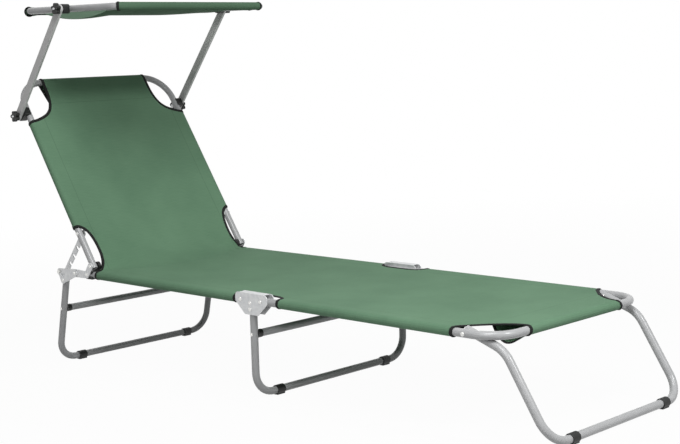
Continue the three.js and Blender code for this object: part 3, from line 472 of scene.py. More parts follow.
def slab(outline, y_from, y_to):
    """A side view outline extruded across the bed."""
    bm = bmesh.new()
    face = bm.faces.new([bm.verts.new((x, y_from, z)) for x, z in outline])
    new = bmesh.ops.extrude_face_region(bm, geom=[face])["geom"]
    verts = [v for v in new if isinstance(v, bmesh.types.BMVert)]
    bmesh.ops.translate(bm, verts=verts, vec=(0, y_to - y_from, 0))
    bmesh.ops.recalc_face_normals(bm, faces=bm.faces)
    return bm


def tube_bore(x, y, play):
    """A cutter that clears a tube lying along the bed."""
    bore = slab(disc_outline(TUBE + play), -CUT_REACH, CUT_REACH)
    turned = Matrix.Translation((x, y, 0)) @ Matrix.Rotation(math.pi / 2, 4, "Z")
    bmesh.ops.transform(bore, verts=bore.verts, matrix=turned)
    return bore


def combined(parts, action="UNION"):
    """Joins closed meshes into the first one, or cuts the rest out of it."""
    made = []
    for bm in parts:
        mesh = bpy.data.meshes.new("blank")
        bm.to_mesh(mesh)
        bm.free()
        made.append(bpy.data.objects.new("blank", mesh))
        bpy.context.scene.collection.objects.link(made[-1])
    for other in made[1:]:
        step = made[0].modifiers.new("step", "BOOLEAN")
        step.operation, step.object, step.solver = action, other, "EXACT"
    result = bmesh.new()
    result.from_object(made[0], bpy.context.evaluated_depsgraph_get())
    for o in made:
        bpy.data.objects.remove(o)
    bmesh.ops.remove_doubles(result, verts=result.verts, dist=1e-6)
    bmesh.ops.dissolve_limit(result, angle_limit=math.radians(1), verts=result.verts, edges=result.edges)
    return result


def turned_piece(bm, profile, x, z, y, side, steps=20):
    """Spins a profile of (radius, height) round an axis across the bed, standing out on one side."""
    verts = [bm.verts.new((x + r, y + side * h, z)) for r, h in profile]
    edges = [bm.edges.new(pair) for pair in zip(verts, verts[1:])]
    bmesh.ops.spin(bm, geom=verts + edges, cent=(x, y, z), axis=(0, 1, 0), angle=2 * math.pi, steps=steps,
                   use_merge=True)
    bmesh.ops.remove_doubles(bm, verts=bm.verts, dist=1e-6)
    return bm


# The tubes of the frame
def mirrored(side_view, half):
    """The corners of a tube bent like a U: its side view on the left, and back again on the right."""
    return [(x, half, z) for x, z in side_view] + [(x, -half, z) for x, z in reversed(side_view)]


def frame_tube(name, corners, bends, body, place, replaces):
    finished(name, bent_tube(corners, bends), body, tube_lacquer, place, replaces)


def floor_bar(ahead, pivot):
    """The middle of a leg's floor bar, seen from the leg's pivot."""
    return Vector((ahead + AHEAD, 0, FLOOR_BAR)) - pivot


def tubes():
    for name, side in SIDES:
        y = side * HALF
        frame_tube(f"seat_side_tube_{name}", [(-SEAT_REAR, y, 0), (-SEAT_FRONT, y, 0)], [], "seat", BED,
                   [f"seat_tube_{name}"])
    frame_tube("foot_section_tube", mirrored([(FOOT_REAR, 0), (FOOT_END, 0)], HALF), [FOOT_BEND] * 2,
               "foot_section", BED, ["foot_frame"])
    frame_tube("backrest_tube", mirrored([(BACK_STUB, 0), (-BACK_TOP, 0)], HALF), [BACK_BEND] * 2,
               "backrest", BACKREST, ["backrest_frame"])
    # the canopy's loop starts and ends at its butt joint, in the middle of the rear bar
    along, across, joint = CANOPY_ALONG, CANOPY_ACROSS, 0.0002
    loop = [(-along, joint), (-along, across), (along, across), (along, -across), (-along, -across),
            (-along, -joint)]
    frame_tube("canopy_tube", [(x, y, 0) for x, y in loop], [CANOPY_BEND] * 4, "canopy", CANOPY,
               ["canopy_frame"])
    rivet = Vector((LEG_RIVET[0], 0, LEG_RIVET[1]))
    foot = floor_bar(-REAR_FOOT_BACK, REAR_LEG)
    top = rivet + (rivet - foot).normalized() * REAR_LEG_TOP
    braced_leg("rear_leg", REAR_LEG, top, foot, REAR_LEG_HALF)
    foot = floor_bar(-MIDDLE_FOOT_BACK, MIDDLE_LEG)
    braced_leg("middle_leg", MIDDLE_LEG, -foot.normalized() * MIDDLE_LEG_TOP, foot, HALF)
    apex = Vector((FRONT_APEX_AHEAD + AHEAD, 0, FRONT_APEX_HEIGHT)) - FRONT_LEG
    foot = floor_bar(FRONT_FOOT_AHEAD, FRONT_LEG)
    side_view = [(p.x, p.z) for p in (-apex.normalized() * FRONT_LEG_TOP, apex, foot)]
    frame_tube("front_leg_tube", mirrored(side_view, FRONT_LEG_HALF),
               [FRONT_LEG_BEND, LEG_BEND, LEG_BEND, FRONT_LEG_BEND], "front_leg",
               Matrix.Translation(FRONT_LEG), ["front_leg"])
    foot_sleeves("front", foot, FRONT_LEG_HALF, "front_leg", FRONT_LEG)


def braced_leg(name, pivot, top, foot, half):
    """A U leg with its cross brace, the brace's black collars and the screws that hold it."""
    place = Matrix.Translation(pivot)
    frame_tube(f"{name}_tube", mirrored([(top.x, top.z), (foot.x, foot.z)], half), [LEG_BEND] * 2, name,
               place, [name])
    rise = BRACE_HEIGHT - pivot.z
    x = top.x + (foot.x - top.x) * (rise - top.z) / (foot.z - top.z)
    reach = half - TUBE - GAP
    kind = name.split("_")[0]
    frame_tube(f"{kind}_cross_brace", [(x, -reach, rise), (x, reach, rise)], [], name, place,
               [f"{kind}_brace"])
    collars = bmesh.new()
    screws = bmesh.new()
    bore = TUBE + 0.0001
    profile = [(bore, 0), (COLLAR, 0), (COLLAR, COLLAR_CHAMFER - COLLAR_LENGTH), (COLLAR_RIM, -COLLAR_LENGTH),
               (bore, -COLLAR_LENGTH), (bore, 0)]
    for _, side in SIDES:
        turned_piece(collars, profile, x, rise, side * reach, side, 28)
        turned_piece(screws, domed(SCREW_HEAD, SCREW_RISE), x, rise, side * (half + TUBE - HEAD_SUNK), side)
    finished(f"{kind}_brace_collars", collars, name, black_nylon, place)
    finished(f"{kind}_brace_screws", screws, name, rivet_nickel, place)
    foot_sleeves(kind, foot, half, name, pivot)


def foot_sleeves(kind, foot, half, body, pivot):
    """Black sleeves that carry a leg on the floor: round over the bar, with a flat pad under it."""
    turns = [math.radians(-52 + 284 * i / 32) for i in range(33)]
    outline = [(FOOT_SLEEVE * math.cos(turn), FOOT_SLEEVE * math.sin(turn)) for turn in turns]
    outline += [(-FOOT_PAD, -FLOOR_BAR), (FOOT_PAD, -FLOOR_BAR)]
    length = FOOT_SLEEVE_LENGTH
    for name, side in SIDES:
        bore = slab(disc_outline(TUBE + 0.0002), -length, length)
        ring = combined([slab(outline, -length / 2, length / 2), bore], "DIFFERENCE")
        middle = Vector((foot.x, side * (half - FOOT_SLEEVE_INSET), foot.z))
        finished(f"{kind}_foot_sleeve_{name}", ring, body, black_nylon,
                 Matrix.Translation(pivot + middle), [f"{kind}_foot_{name}"], bevel=FOOT_SLEEVE_BEVEL)


# Pins and rivets, spun round their own axes
def dome(radius, height):
    """Profile of a low dome on a short rim, from its tip outward."""
    turns = [i / HEAD_STEPS * math.pi / 2 for i in range(1, HEAD_STEPS + 1)]
    return [(0, height)] + [(radius * math.sin(turn), HEAD_RIM + (height - HEAD_RIM) * math.cos(turn))
                            for turn in turns]


def domed(radius, height):
    return dome(radius, height) + [(radius, 0), (0, 0)]


def pin(name, place_on_bed, side, inner, outer, replaces, body="seat"):
    """A pin across the bed, with a domed head beyond each of the two faces it holds."""
    head = dome(PIN_HEAD, HEAD_RISE)
    profile = [(r, inner - h) for r, h in head]
    profile += [(PIN_HEAD, inner), (PIN, inner), (PIN, outer), (PIN_HEAD, outer)]
    profile += [(r, outer + h) for r, h in reversed(head)]
    bm = turned_piece(bmesh.new(), profile, *place_on_bed, 0, side)
    finished(name, bm, body, rivet_nickel, BED, replaces, smooth=40)


def rivets(name, body, place, side, face, *spots):
    """Rivet heads on the outer face of a plate."""
    bm = bmesh.new()
    for x, z in spots:
        turned_piece(bm, domed(PIN_HEAD, HEAD_RISE), x, z, side * (face - HEAD_SUNK), side)
    finished(name, bm, body, rivet_nickel, place, smooth=40)


# Rear hinge: pressed plates outside the tubes, and the black saddle that carries the backrest
LEG_EYE, PLATE_END = 0.011, 0.010
LUG, LUG_END, LUG_FOOT = 0.008, 0.011, 0.0111
SADDLE_LENGTH, SADDLE_LOW, SADDLE_HIGH, SADDLE_CORNER = 0.033, -0.012, 0.0115, 0.003
HOOK_SHANK, HOOK_HEAD = 0.004, 0.006


def rear_hinge(name, side):
    tip, leg = (-HOOK_BACK, -HOOK_DROP), (-LEG_PIVOT_BACK, 0.0)
    seat, hinge = (-SEAT_RIVET_BACK, 0.0), (-HINGE_BACK, HINGE_RISE)
    faces = (side * PLATE_INNER, side * PLATE_OUTER)
    plate = combined([slab(link_outline(*link), *faces) for link in (
        (leg, LEG_EYE, tip, PLATE_END), (leg, LEG_EYE, seat, PLATE_END),
        (seat, PLATE_END, hinge, PLATE_END))])
    finished(f"hinge_plate_{name}", plate, "seat", plate_zinc, BED,
             [f"rear_hinge_plate_{name}"], bevel=0.0006)
    rivets(f"seat_rivet_{name}", "seat", BED, side, PLATE_OUTER, seat)
    lug_outer = INNER_FACE - GAP
    lug_inner = lug_outer - LUG
    rear, front = -SEAT_REAR, -SEAT_REAR + SADDLE_LENGTH
    middle = (rear + front) / 2
    lug = slab(link_outline(hinge, LUG_END, (middle, 0.0), LUG_FOOT), side * lug_inner, side * lug_outer)
    block = slab(rounded_outline(rectangle(rear, SADDLE_LOW, front, SADDLE_HIGH), [SADDLE_CORNER] * 4),
                 side * lug_inner, side * (OUTER_FACE - GAP))
    saddle = combined([combined([lug, block]), tube_bore(middle, side * HALF, 0.0002)], "DIFFERENCE")
    finished(f"saddle_{name}", saddle, "seat", black_nylon, BED,
             [f"hinge_saddle_{name}"], bevel=0.0009)
    pin(f"hinge_pin_{name}", hinge, side, lug_inner - GAP, PLATE_OUTER + GAP, [f"backrest_hinge_pin_{name}"])
    shank, head = HOOK_SHANK, HOOK_HEAD
    start, inner, outer = BAR_OUTER + GAP, OUTER_FACE, LEG_PLATE_OUTER + GAP
    hook = turned_piece(bmesh.new(), [
        (0, start), (shank - 0.0006, start), (shank, start + 0.0006), (shank, inner - HEAD_RISE),
        (head - 0.0005, inner - HEAD_RISE), (head, inner - 0.0015), (head, inner), (shank, inner),
        (shank, outer), (head, outer), (head - 0.0001, outer + 0.0008), (head - 0.001, outer + 0.0015),
        (head / 2, outer + 0.0019), (0, outer + HEAD_RISE)], *tip, 0, side)
    finished(f"hook_pin_{name}", hook, "seat", rivet_nickel, BED,
             [f"adjuster_hook_pin_{name}"], smooth=40)
    pin(f"leg_pin_{name}", leg, side, OUTER_FACE, outer, [f"rear_leg_pin_{name}"])


def rear_leg_plate(name, side):
    """Joins the rear leg to its pivot and reaches back to the hook pin, which stops it."""
    nose_end = 0.005
    rivet = Vector(LEG_RIVET)
    hook = Vector(((HOOK - REAR_LEG).x, (HOOK - REAR_LEG).z))
    nose = hook + (rivet - hook).normalized() * (HOOK_SHANK + GAP + nose_end)
    faces = (side * LEG_PLATE_INNER, side * LEG_PLATE_OUTER)
    plate = combined([slab(link_outline((0.0, 0.0), PLATE_END + 0.0001, LEG_RIVET, PLATE_END), *faces),
                      slab(link_outline(LEG_RIVET, PLATE_END, tuple(nose), nose_end), *faces)])
    place = Matrix.Translation(REAR_LEG)
    finished(f"leg_plate_{name}", plate, "rear_leg", plate_zinc, place,
             [f"rear_leg_plate_{name}"], bevel=0.0006)
    rivets(f"leg_plate_rivet_{name}", "rear_leg", place, side, LEG_PLATE_OUTER, LEG_RIVET)


# Middle hinge: a pressed channel over both tubes, with the top of the middle leg between its cheeks
CHEEK_CORNERS = (0.003, 0.003, 0.006, 0.012, 0.012, 0.006)
ROOF, ROOF_END = 0.0022, 0.045
STOP_BACK, STOP_LIP, STOP_HEIGHT = 0.0168, 0.002, 0.0045
CHANNEL_RIVETS = ((-0.040, 0.0), (-0.005, -0.006))


def middle_hinge(name, side):
    foot, shoulder, top, low, drop = 0.024, 0.058, 0.0185, 0.004, 0.035
    corners = [(-foot, -drop), (foot, -drop), (shoulder, -low), (shoulder, top), (-shoulder, top),
               (-shoulder, -low)]
    outline = rounded_outline(corners, CHEEK_CORNERS)
    inner, outer = INNER_FACE - GAP, PLATE_INNER
    across = (side * (inner - CHANNEL), side * (outer + CHANNEL))
    channel = combined([
        slab(outline, side * outer, across[1]), slab(outline, across[0], side * inner),
        slab(rectangle(-ROOF_END, top - ROOF, ROOF_END, top), *across),
        slab(rectangle(-STOP_BACK, -drop, STOP_LIP - STOP_BACK, STOP_HEIGHT - drop), *across)])
    finished(f"hinge_channel_{name}", channel, "seat", plate_zinc, BED,
             [f"middle_bracket_{name}"], bevel=0.0007)
    rivets(f"channel_rivet_{name}", "seat", BED, side, outer + CHANNEL, *CHANNEL_RIVETS)
    pin_faces = (inner - CHANNEL - GAP, outer + CHANNEL + GAP)
    pin(f"foot_pin_{name}", (FOOT_PIVOT, 0.0), side, *pin_faces, [f"foot_hinge_pin_{name}"])
    pin(f"middle_pin_{name}", (-MIDDLE_LEG_BACK, -MIDDLE_LEG_DROP), side, *pin_faces,
        [f"middle_leg_pin_{name}"])


# Star knobs and their bolts: five lobes round a hub, with a raised cap over the bolt
def knob(name, body, place, side, node):
    waist, lobe_reach, lobes = 0.0092, 0.0067, 5
    rim, dish, cap = 0.0014, 0.0008, 0.0045
    outline = []
    for i in range(KNOB_SIDES):
        turn = 2 * math.pi * i / KNOB_SIDES
        radius = waist + lobe_reach * (0.5 + 0.5 * math.cos(lobes * (turn - math.pi / 2))) ** 0.5
        outline.append((radius * math.cos(turn), radius * math.sin(turn)))
    bm = slab(outline, side * KNOB_INNER, side * KNOB_OUTER)
    ends = [f for f in bm.faces if len(f.verts) == KNOB_SIDES]
    outer = max(ends, key=lambda f: side * f.calc_center_median().y)
    bmesh.ops.inset_individual(bm, faces=[outer], thickness=rim, use_even_offset=True)
    bmesh.ops.translate(bm, verts=outer.verts, vec=(0, side * -dish, 0))
    turned_piece(bm, [(0, cap), (0.0042, cap), (0.0062, cap - 0.001), (0.0068, 0.0), (0, 0)], 0, 0,
                 side * (KNOB_OUTER - cap), side, 24)
    finished(f"star_knob_{name}", bm, body, black_nylon, place, [node], smooth=30,
             bevel=0.0012)


def bolt(name, body, place, z, side, inside, node):
    head, face, end = 0.006, inside - GAP, KNOB_OUTER + BOLT_TIP
    bm = turned_piece(bmesh.new(), [
        (0, face - 0.003), (0.0045, face - 0.0027), (head, face - 0.0015), (head, face), (PIN, face),
        (PIN, end - 0.0007), (0.0024, end), (0, end)], 0, z, 0, side, 24)
    finished(name, bm, body, plate_zinc, place, [node], smooth=40)


# Clamps of the canopy: black blocks on the backrest tubes and spacers on the canopy's own
CLAMP_HALF, CLAMP_LOW, CLAMP_HIGH, CLAMP_PLAY = 0.013, -0.025, 0.0122, 0.0005
CLAMP_CORNER, SPACER_CORNER, SPACER_START, BLOCK_BEVEL = 0.005, 0.008, 0.0085, 0.0012


def canopy_clamps(name, side):
    lower = BACKREST @ Matrix.Translation((-CLAMP_REACH, 0, 0))
    at_bolt = lower @ Matrix.Translation((0, 0, -CLAMP_DROP))
    half, inner, outer = CLAMP_HALF, HALF - CLAMP_PLAY, ARM_INNER - GAP
    block = slab(rounded_outline(rectangle(-half, CLAMP_LOW, half, CLAMP_HIGH), [CLAMP_CORNER] * 4),
                 side * inner, side * outer)
    clamp = combined([block, tube_bore(0, side * HALF, CLAMP_PLAY)], "DIFFERENCE")
    finished(f"clamp_{name}", clamp, "backrest", black_nylon, lower,
             [f"backrest_clamp_{name}"], bevel=BLOCK_BEVEL)
    bolt(f"clamp_bolt_{name}", "backrest", lower, -CLAMP_DROP, side, inner, f"backrest_clamp_bolt_{name}")
    knob(f"backrest_{name}", f"backrest_knob_{name}", at_bolt, side, f"backrest_knob_{name}")
    block = slab(rounded_outline(rectangle(-half, -half, half, half), [SPACER_CORNER] * 4),
                 side * (CANOPY_ACROSS + SPACER_START), side * outer)
    spacer = combined([block, tube_bore(0, side * CANOPY_ACROSS, CLAMP_PLAY)], "DIFFERENCE")
    finished(f"spacer_{name}", spacer, "canopy", black_nylon, CANOPY,
             [f"canopy_spacer_{name}"], bevel=BLOCK_BEVEL)
    bolt(f"spacer_bolt_{name}", "canopy", CANOPY, 0, side, CANOPY_ACROSS - TUBE, f"canopy_bolt_{name}")
    knob(f"canopy_{name}", f"canopy_knob_{name}", CANOPY, side, f"canopy_knob_{name}")


# Canopy arms: tube pressed flat, with full round edges and closed ends
def canopy_arm(name, side):
    outline = link_outline((0.0, 0.0), ARM_HALF_WIDTH, (ARM_RUN.length, 0.0), ARM_HALF_WIDTH + FLARE, 16)
    bm = slab(outline, side * ARM_INNER, side * ARM_OUTER)
    # the arms' paler grey is painted light, not a lacquer of their own
    finished(f"flat_arm_{name}", bm, "canopy_arms", arm_lacquer_painted_lighter, ARM, [f"canopy_arm_{name}"],
             smooth=40, bevel=0.0015)


# Stays of the backrest: flat bars with four notches that drop over the hook pins
def adjuster(name, side):
    reach, tail, half_width = BAR_RUN.length, 0.014, 0.009
    pitch, notch, depth, overrun = 0.031, 0.0045, 0.018, 0.005
    outline = link_outline((0.0, 0.0), half_width, (-reach - tail, 0.0), half_width + FLARE)
    parts = [slab(outline, side * BAR_INNER, side * BAR_OUTER)]
    for i in range(4):
        x = -reach + i * pitch
        parts.append(slab(link_outline((x, 0.0), notch, (x, -depth), notch + FLARE, 10),
                          side * (BAR_INNER - overrun), side * (BAR_OUTER + overrun)))
    finished(f"notched_bar_{name}", combined(parts, "DIFFERENCE"), f"adjuster_{name}", plate_zinc,
             BAR, [f"adjuster_bar_{name}"], bevel=0.0004)
    inner, end = BAR_INNER - GAP, OUTER_FACE + 0.0002
    washer, tube = BAR_OUTER + GAP, INNER_FACE - GAP
    bm = turned_piece(bmesh.new(), [
        (0, inner - 0.0022), (0.0038, inner - 0.0019), (PIN_HEAD, inner - 0.0011), (PIN_HEAD, inner),
        (PIN, inner), (PIN, washer), (PIN_HEAD, washer), (PIN_HEAD, tube), (PIN, tube), (PIN, end), (0, end)],
        -ADJUSTER_REACH, 0, 0, side, 24)
    finished(f"bar_pin_{name}", bm, "backrest", black_nylon, BACKREST,
             [f"adjuster_pin_{name}"], smooth=40)
    rivets(f"bar_pin_head_{name}", "backrest", BACKREST, side, end, (-ADJUSTER_REACH, 0))


def hardware():
    for name, side in SIDES:
        rear_hinge(name, side)
        rear_leg_plate(name, side)
        middle_hinge(name, side)
        canopy_clamps(name, side)
        canopy_arm(name, side)
        adjuster(name, side)
        pin(f"front_pin_{name}", (FRONT_PIVOT, 0.0), side, FRONT_LEG_HALF - TUBE - GAP, OUTER_FACE + GAP,
            [f"front_leg_pin_{name}"], "foot_section")


# Main cloth: one sheet from the top of the backrest over the seat to the foot end
CLOTH_RADIUS = 0.0106
CLOTH = 0.0012
SEAM_DROP = 0.002
SIDE_SEAM, END_SEAM = 0.038, 0.080
FLAP_DROOP = 0.032
MIDDLE_FILLET, EDGE_FILLET = 0.150, 0.010
MOUTH_CUT, MOUTH_CUT_LENGTH = 0.008, 0.09
BACK_SAG, SEAT_SAG = 0.006, 0.007


def normal_at(lean):
    return Vector((math.sin(lean), 0, math.cos(lean)))


def downhill(lean):
    return Vector((math.cos(lean), 0, -math.sin(lean)))


def fold(seam):
    """How far the cloth runs round the tube, and then straight on to the seam inward of it."""
    lean = math.radians(25)
    # a few rounds settle the slope at which the flap leaves the tube
    for _ in range(20):
        inward = seam - CLOTH_RADIUS * math.sin(lean)
        lean = math.atan2(CLOTH_RADIUS * (1 + math.cos(lean)) - SEAM_DROP, inward)
    return (math.pi + lean) * CLOTH_RADIUS, (seam - CLOTH_RADIUS * math.sin(lean)) / math.cos(lean)


SIDE_ARC, SIDE_FLAP = fold(SIDE_SEAM)
END_ARC, END_FLAP = fold(END_SEAM)
SIDE_FOLD = HALF + CLOTH_RADIUS * math.pi / 2
POCKET_END = HALF + SIDE_ARC + SIDE_FLAP
WRAP = END_ARC + END_FLAP

# The crease: where the cloth's plane on the backrest meets its plane on the bed
down_back, down_bed = downhill(RECLINE), downhill(BED_SLOPE)
base_back, base_bed = on_backrest(0, CLOTH_RADIUS), on_bed(0, CLOTH_RADIUS)
bed_normal = normal_at(BED_SLOPE)
back_run = (base_bed - base_back).dot(bed_normal) / down_back.dot(bed_normal)
CREASE = base_back + down_back * back_run
CREASE_SEAT = (CREASE - base_bed).dot(down_bed)
TOP_Q = -(BACK_TOP + back_run)
END_Q = FOOT_END - CREASE_SEAT


# Places along the cloth, from their places on the backrest and on the bed
def backrest_q(up):
    return -(up + back_run)


def bed_q(along):
    return along - CREASE_SEAT


# Mouths of the side pockets: up the backrest, past the crease and along the bed, then all along the cloth
TOP_UP, CROOK_UP, SEAT_MOUTH = 0.475, 0.122, -0.0034
MIDDLE_REAR, MIDDLE_FRONT, FOOT_CORNER = -0.062, 0.088, 0.632
TOP_MOUTH, CROOK_MOUTH = backrest_q(TOP_UP), backrest_q(CROOK_UP)
MIDDLE_MOUTHS, FOOT_MOUTH = (bed_q(MIDDLE_REAR), bed_q(MIDDLE_FRONT)), bed_q(FOOT_CORNER)


def eased(value, low, high):
    t = min(1.0, max(0.0, (value - low) / (high - low)))
    return t * t * (3 - 2 * t)


def path_at(q, fillet):
    """A point of the cloth's side view and its slope there. q is the way along the cloth from the crease."""
    half_turn = (RECLINE - BED_SLOPE) / 2
    reach = fillet * math.tan(half_turn)
    if q <= -reach:
        return CREASE + down_back * q, RECLINE
    if q >= reach:
        return CREASE + down_bed * q, BED_SLOPE
    lean = RECLINE + (BED_SLOPE - RECLINE) * (q + reach) / (2 * reach)
    middle = (RECLINE + BED_SLOPE) / 2
    centre = CREASE + normal_at(middle) * fillet / math.cos(half_turn)
    return centre - normal_at(lean) * fillet, lean


def pocket(run, arc, flap, seam):
    """Where a pocket lies in section, as (outward, up) from the tube's middle, run metres past its top."""
    if run <= arc:
        turn = run / CLOTH_RADIUS
        return CLOTH_RADIUS * math.sin(turn), CLOTH_RADIUS * math.cos(turn)
    turn = arc / CLOTH_RADIUS
    share = min(1.0, (run - arc) / flap)
    start = (CLOTH_RADIUS * math.sin(turn), CLOTH_RADIUS * math.cos(turn))
    end = (-seam, CLOTH_RADIUS - SEAM_DROP)
    return start[0] + (end[0] - start[0]) * share, start[1] + (end[1] - start[1]) * share


def sag(q, y):
    """The cloth hangs a few millimetres between its side tubes."""
    across = max(0.0, 1 - (y / HALF) ** 2)
    back = BACK_SAG * eased(q, TOP_Q, TOP_Q + 0.3) * (1 - eased(q, -0.3, -0.02))
    seat = SEAT_SAG * eased(q, 0.02, 0.3) * (1 - eased(q, END_Q - 0.3, END_Q))
    return across * (back + seat)


def round_bar(q, y, side, fillet):
    """Where the cloth lies that is folded round the top bar or the foot bar, with its flap underneath."""
    past_end = q - END_Q
    at_top = q < TOP_Q
    base, lean = path_at(TOP_Q if at_top else END_Q, fillet)
    over, rise = pocket(TOP_Q - q if at_top else past_end, END_ARC, END_FLAP, END_SEAM)
    if past_end > END_ARC:
        # the corners of the flap under the foot end hang loose, the near one more than the far one
        share = min(1.0, (past_end - END_ARC) / END_FLAP) ** 1.4
        rise -= FLAP_DROOP * (1.0 if side < 0 else 0.2) * 4 * share * (1 - share) * eased(y, 0.10, 0.17)
    bend = BACK_BEND if at_top else FOOT_BEND
    past_bend = max(0.0, y - (HALF - bend))
    drop = bend - math.sqrt(max(0.0, bend ** 2 - past_bend ** 2))
    outward = -down_back if at_top else down_bed
    return base + outward * (over - drop) + normal_at(lean) * (rise - CLOTH_RADIUS)


def cloth_point(q, w):
    """The cloth's middle surface: q is the way along it from the crease, w the way across from its middle."""
    side = 1 if w >= 0 else -1
    run = abs(w) - HALF
    if run > 0 and q < CROOK_MOUTH + 1e-6:
        # the lower mouth of the back pocket is cut back on its underside, where the lifted adjuster passes
        q -= MOUTH_CUT * eased(run, 0.0, SIDE_ARC) * eased(q, CROOK_MOUTH - MOUTH_CUT_LENGTH, CROOK_MOUTH)
    out, up = (0.0, CLOTH_RADIUS) if run <= 0 else pocket(run, SIDE_ARC, SIDE_FLAP, SIDE_SEAM)
    y = abs(w) if run <= 0 else HALF + out
    fillet = MIDDLE_FILLET + (EDGE_FILLET - MIDDLE_FILLET) * eased(y, 0.08, 0.258)
    if q < TOP_Q or q > END_Q:
        point = round_bar(q, y, side, fillet)
    else:
        base, lean = path_at(q, fillet)
        if -0.06 < q < 0.03:
            # near its edges the cloth runs flat from the bed to its cut-out, not up the backrest
            share = eased(y, 0.244, 0.260)
            base = base.lerp(CREASE + down_bed * q, share)
            lean += (BED_SLOPE - lean) * share
        point = base + normal_at(lean) * (up - CLOTH_RADIUS - sag(q, y))
    return Vector((point.x, side * y, point.z))


# Half width of the cloth at places along it, cut out at the four corners and at the two hinges
FULL = HALF + CLOTH_RADIUS
BACK_CUTS = ((0.600, 0.188), (0.580, 0.188), (0.555, 0.189), (0.531, 0.194), (0.511, 0.203), (0.496, 0.218),
             (0.486, 0.238), (0.479, 0.258), (0.4765, 0.270), (TOP_UP, FULL), (CROOK_UP, FULL),
             (0.1195, 0.270), (0.112, 0.259), (0.101, 0.250), (0.079, 0.243), (0.053, 0.240), (0.026, 0.240),
             (0.006, 0.2445))
CREASE_CUTS = ((-0.0165, 0.250), (-0.0085, 0.259), (-0.0045, 0.270), (SEAT_MOUTH, FULL))
BED_CUTS = ((MIDDLE_REAR, FULL), (-0.0605, 0.268), (-0.057, 0.258), (-0.050, 0.250), (-0.038, 0.246),
            (-0.020, 0.243), (0.005, 0.242), (0.045, 0.242), (0.062, 0.244), (0.074, 0.249), (0.082, 0.257),
            (0.0865, 0.267), (MIDDLE_FRONT, FULL), (FOOT_CORNER, FULL), (0.633, 0.270), (0.637, 0.260),
            (0.643, 0.251), (0.652, 0.240), (0.665, 0.224), (0.682, 0.206), (0.702, 0.189), (0.720, 0.178),
            (0.736, 0.172))
EDGE = [(TOP_Q - 0.2, 0.196), (TOP_Q, 0.187), *((backrest_q(up), y) for up, y in BACK_CUTS), *CREASE_CUTS,
        *((bed_q(along), y) for along, y in BED_CUTS), (END_Q, 0.170), (END_Q + WRAP, 0.188)]
SIDE_STITCHES = HALF - 0.037
green_canvas = woven_green_canvas("woven_green_canvas", [SIDE_STITCHES],
                                  [TOP_Q + END_SEAM, END_Q - END_SEAM], "#5a7c62", "#6a8d71")
POCKET_COLUMNS = 14
SLEEVES = ((TOP_MOUTH, CROOK_MOUTH), (SEAT_MOUTH, MIDDLE_MOUTHS[0]), (MIDDLE_MOUTHS[1], FOOT_MOUTH))


def half_width(q):
    for (a, ya), (b, yb) in zip(EDGE, EDGE[1:]):
        if q <= b + 1e-9:
            return ya + (yb - ya) * (q - a) / (b - a)
    return EDGE[-1][1]


def across_run(y):
    """How far across the cloth the point lies that stands at y."""
    if y <= HALF:
        return y
    return HALF + CLOTH_RADIUS * math.asin(min(1.0, (y - HALF) / CLOTH_RADIUS))


def stations(q_from, q_to, step=0.009):
    """Places along the cloth: every corner of its edge and even steps between."""
    marks = [q_from] + [q for q, _ in EDGE if q_from + 1e-6 < q < q_to - 1e-6] + [q_to]
    rows = []
    for a, b in zip(marks, marks[1:]):
        count = max(1, math.ceil((b - a) / step))
        rows += [a + (b - a) * i / count for i in range(count)]
    return rows + [q_to]


def edge_run(q):
    return across_run(half_width(q))


def grid_sheet(bm, rows, columns, w_range, layer, place_on=cloth_point):
    """A grid whose rows run across the cloth between the two values that w_range gives."""
    made = bmesh.ops.create_grid(bm, x_segments=columns, y_segments=len(rows) - 1, size=1.0)["verts"]
    facts = {}
    for v in made:
        q = rows[round((v.co.y + 1) / 2 * (len(rows) - 1))]
        low, high = w_range(q)
        w = low + (high - low) * (v.co.x + 1) / 2
        facts[v] = (w, q)
        v.co = place_on(q, w)
    for face in {f for v in made for f in v.link_faces}:
        for loop in face.loops:
            loop[layer].uv = facts[loop.vert]


def woven_piece(name, bm, body, canvas, replaces):
    """Finishes a cloth, which is thickened evenly on both sides, and gives it with its area."""
    area = sum(f.calc_area() for f in bm.faces)
    piece = finished(name, bm, body, canvas, replaces=replaces, smooth=60.0, closed=False)
    wall = piece.modifiers.new("cloth", "SOLIDIFY")
    wall.thickness, wall.offset = CLOTH, 0.0
    return piece, area


def main_cloth(name, q_from, q_to, replaces):
    bm = bmesh.new()
    layer = bm.loops.layers.uv.new("cloth")
    rows = stations(q_from, q_to)
    grid_sheet(bm, rows, 72, lambda q: (-edge_run(q), edge_run(q)), layer)
    for low, high in SLEEVES:
        low, high = max(low, q_from), min(high, q_to)
        if high - low < 0.01:
            continue
        inside = [q for q in rows if low - 1e-6 <= q <= high + 1e-6]
        grid_sheet(bm, inside, POCKET_COLUMNS, lambda q: (SIDE_FOLD, POCKET_END), layer)
        grid_sheet(bm, inside, POCKET_COLUMNS, lambda q: (-POCKET_END, -SIDE_FOLD), layer)
    bmesh.ops.remove_doubles(bm, verts=bm.verts, dist=2e-5)
    piece, area = woven_piece(name, bm, None, green_canvas, replaces)
    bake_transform(piece)


SPLIT_Q = bed_q(-0.350)


def cloths():
    main_cloth("cloth_back_and_seat", TOP_Q - WRAP, SPLIT_Q,
               ["backrest_cloth"])
    main_cloth("cloth_seat_and_foot", SPLIT_Q, END_Q + WRAP,
               ["seat_cloth", "foot_cloth"])


# Bindings: tape folded over every cut edge and swept along it
TAPE_HALF_THICKNESS, TAPE_STEP = 0.0019, 0.004


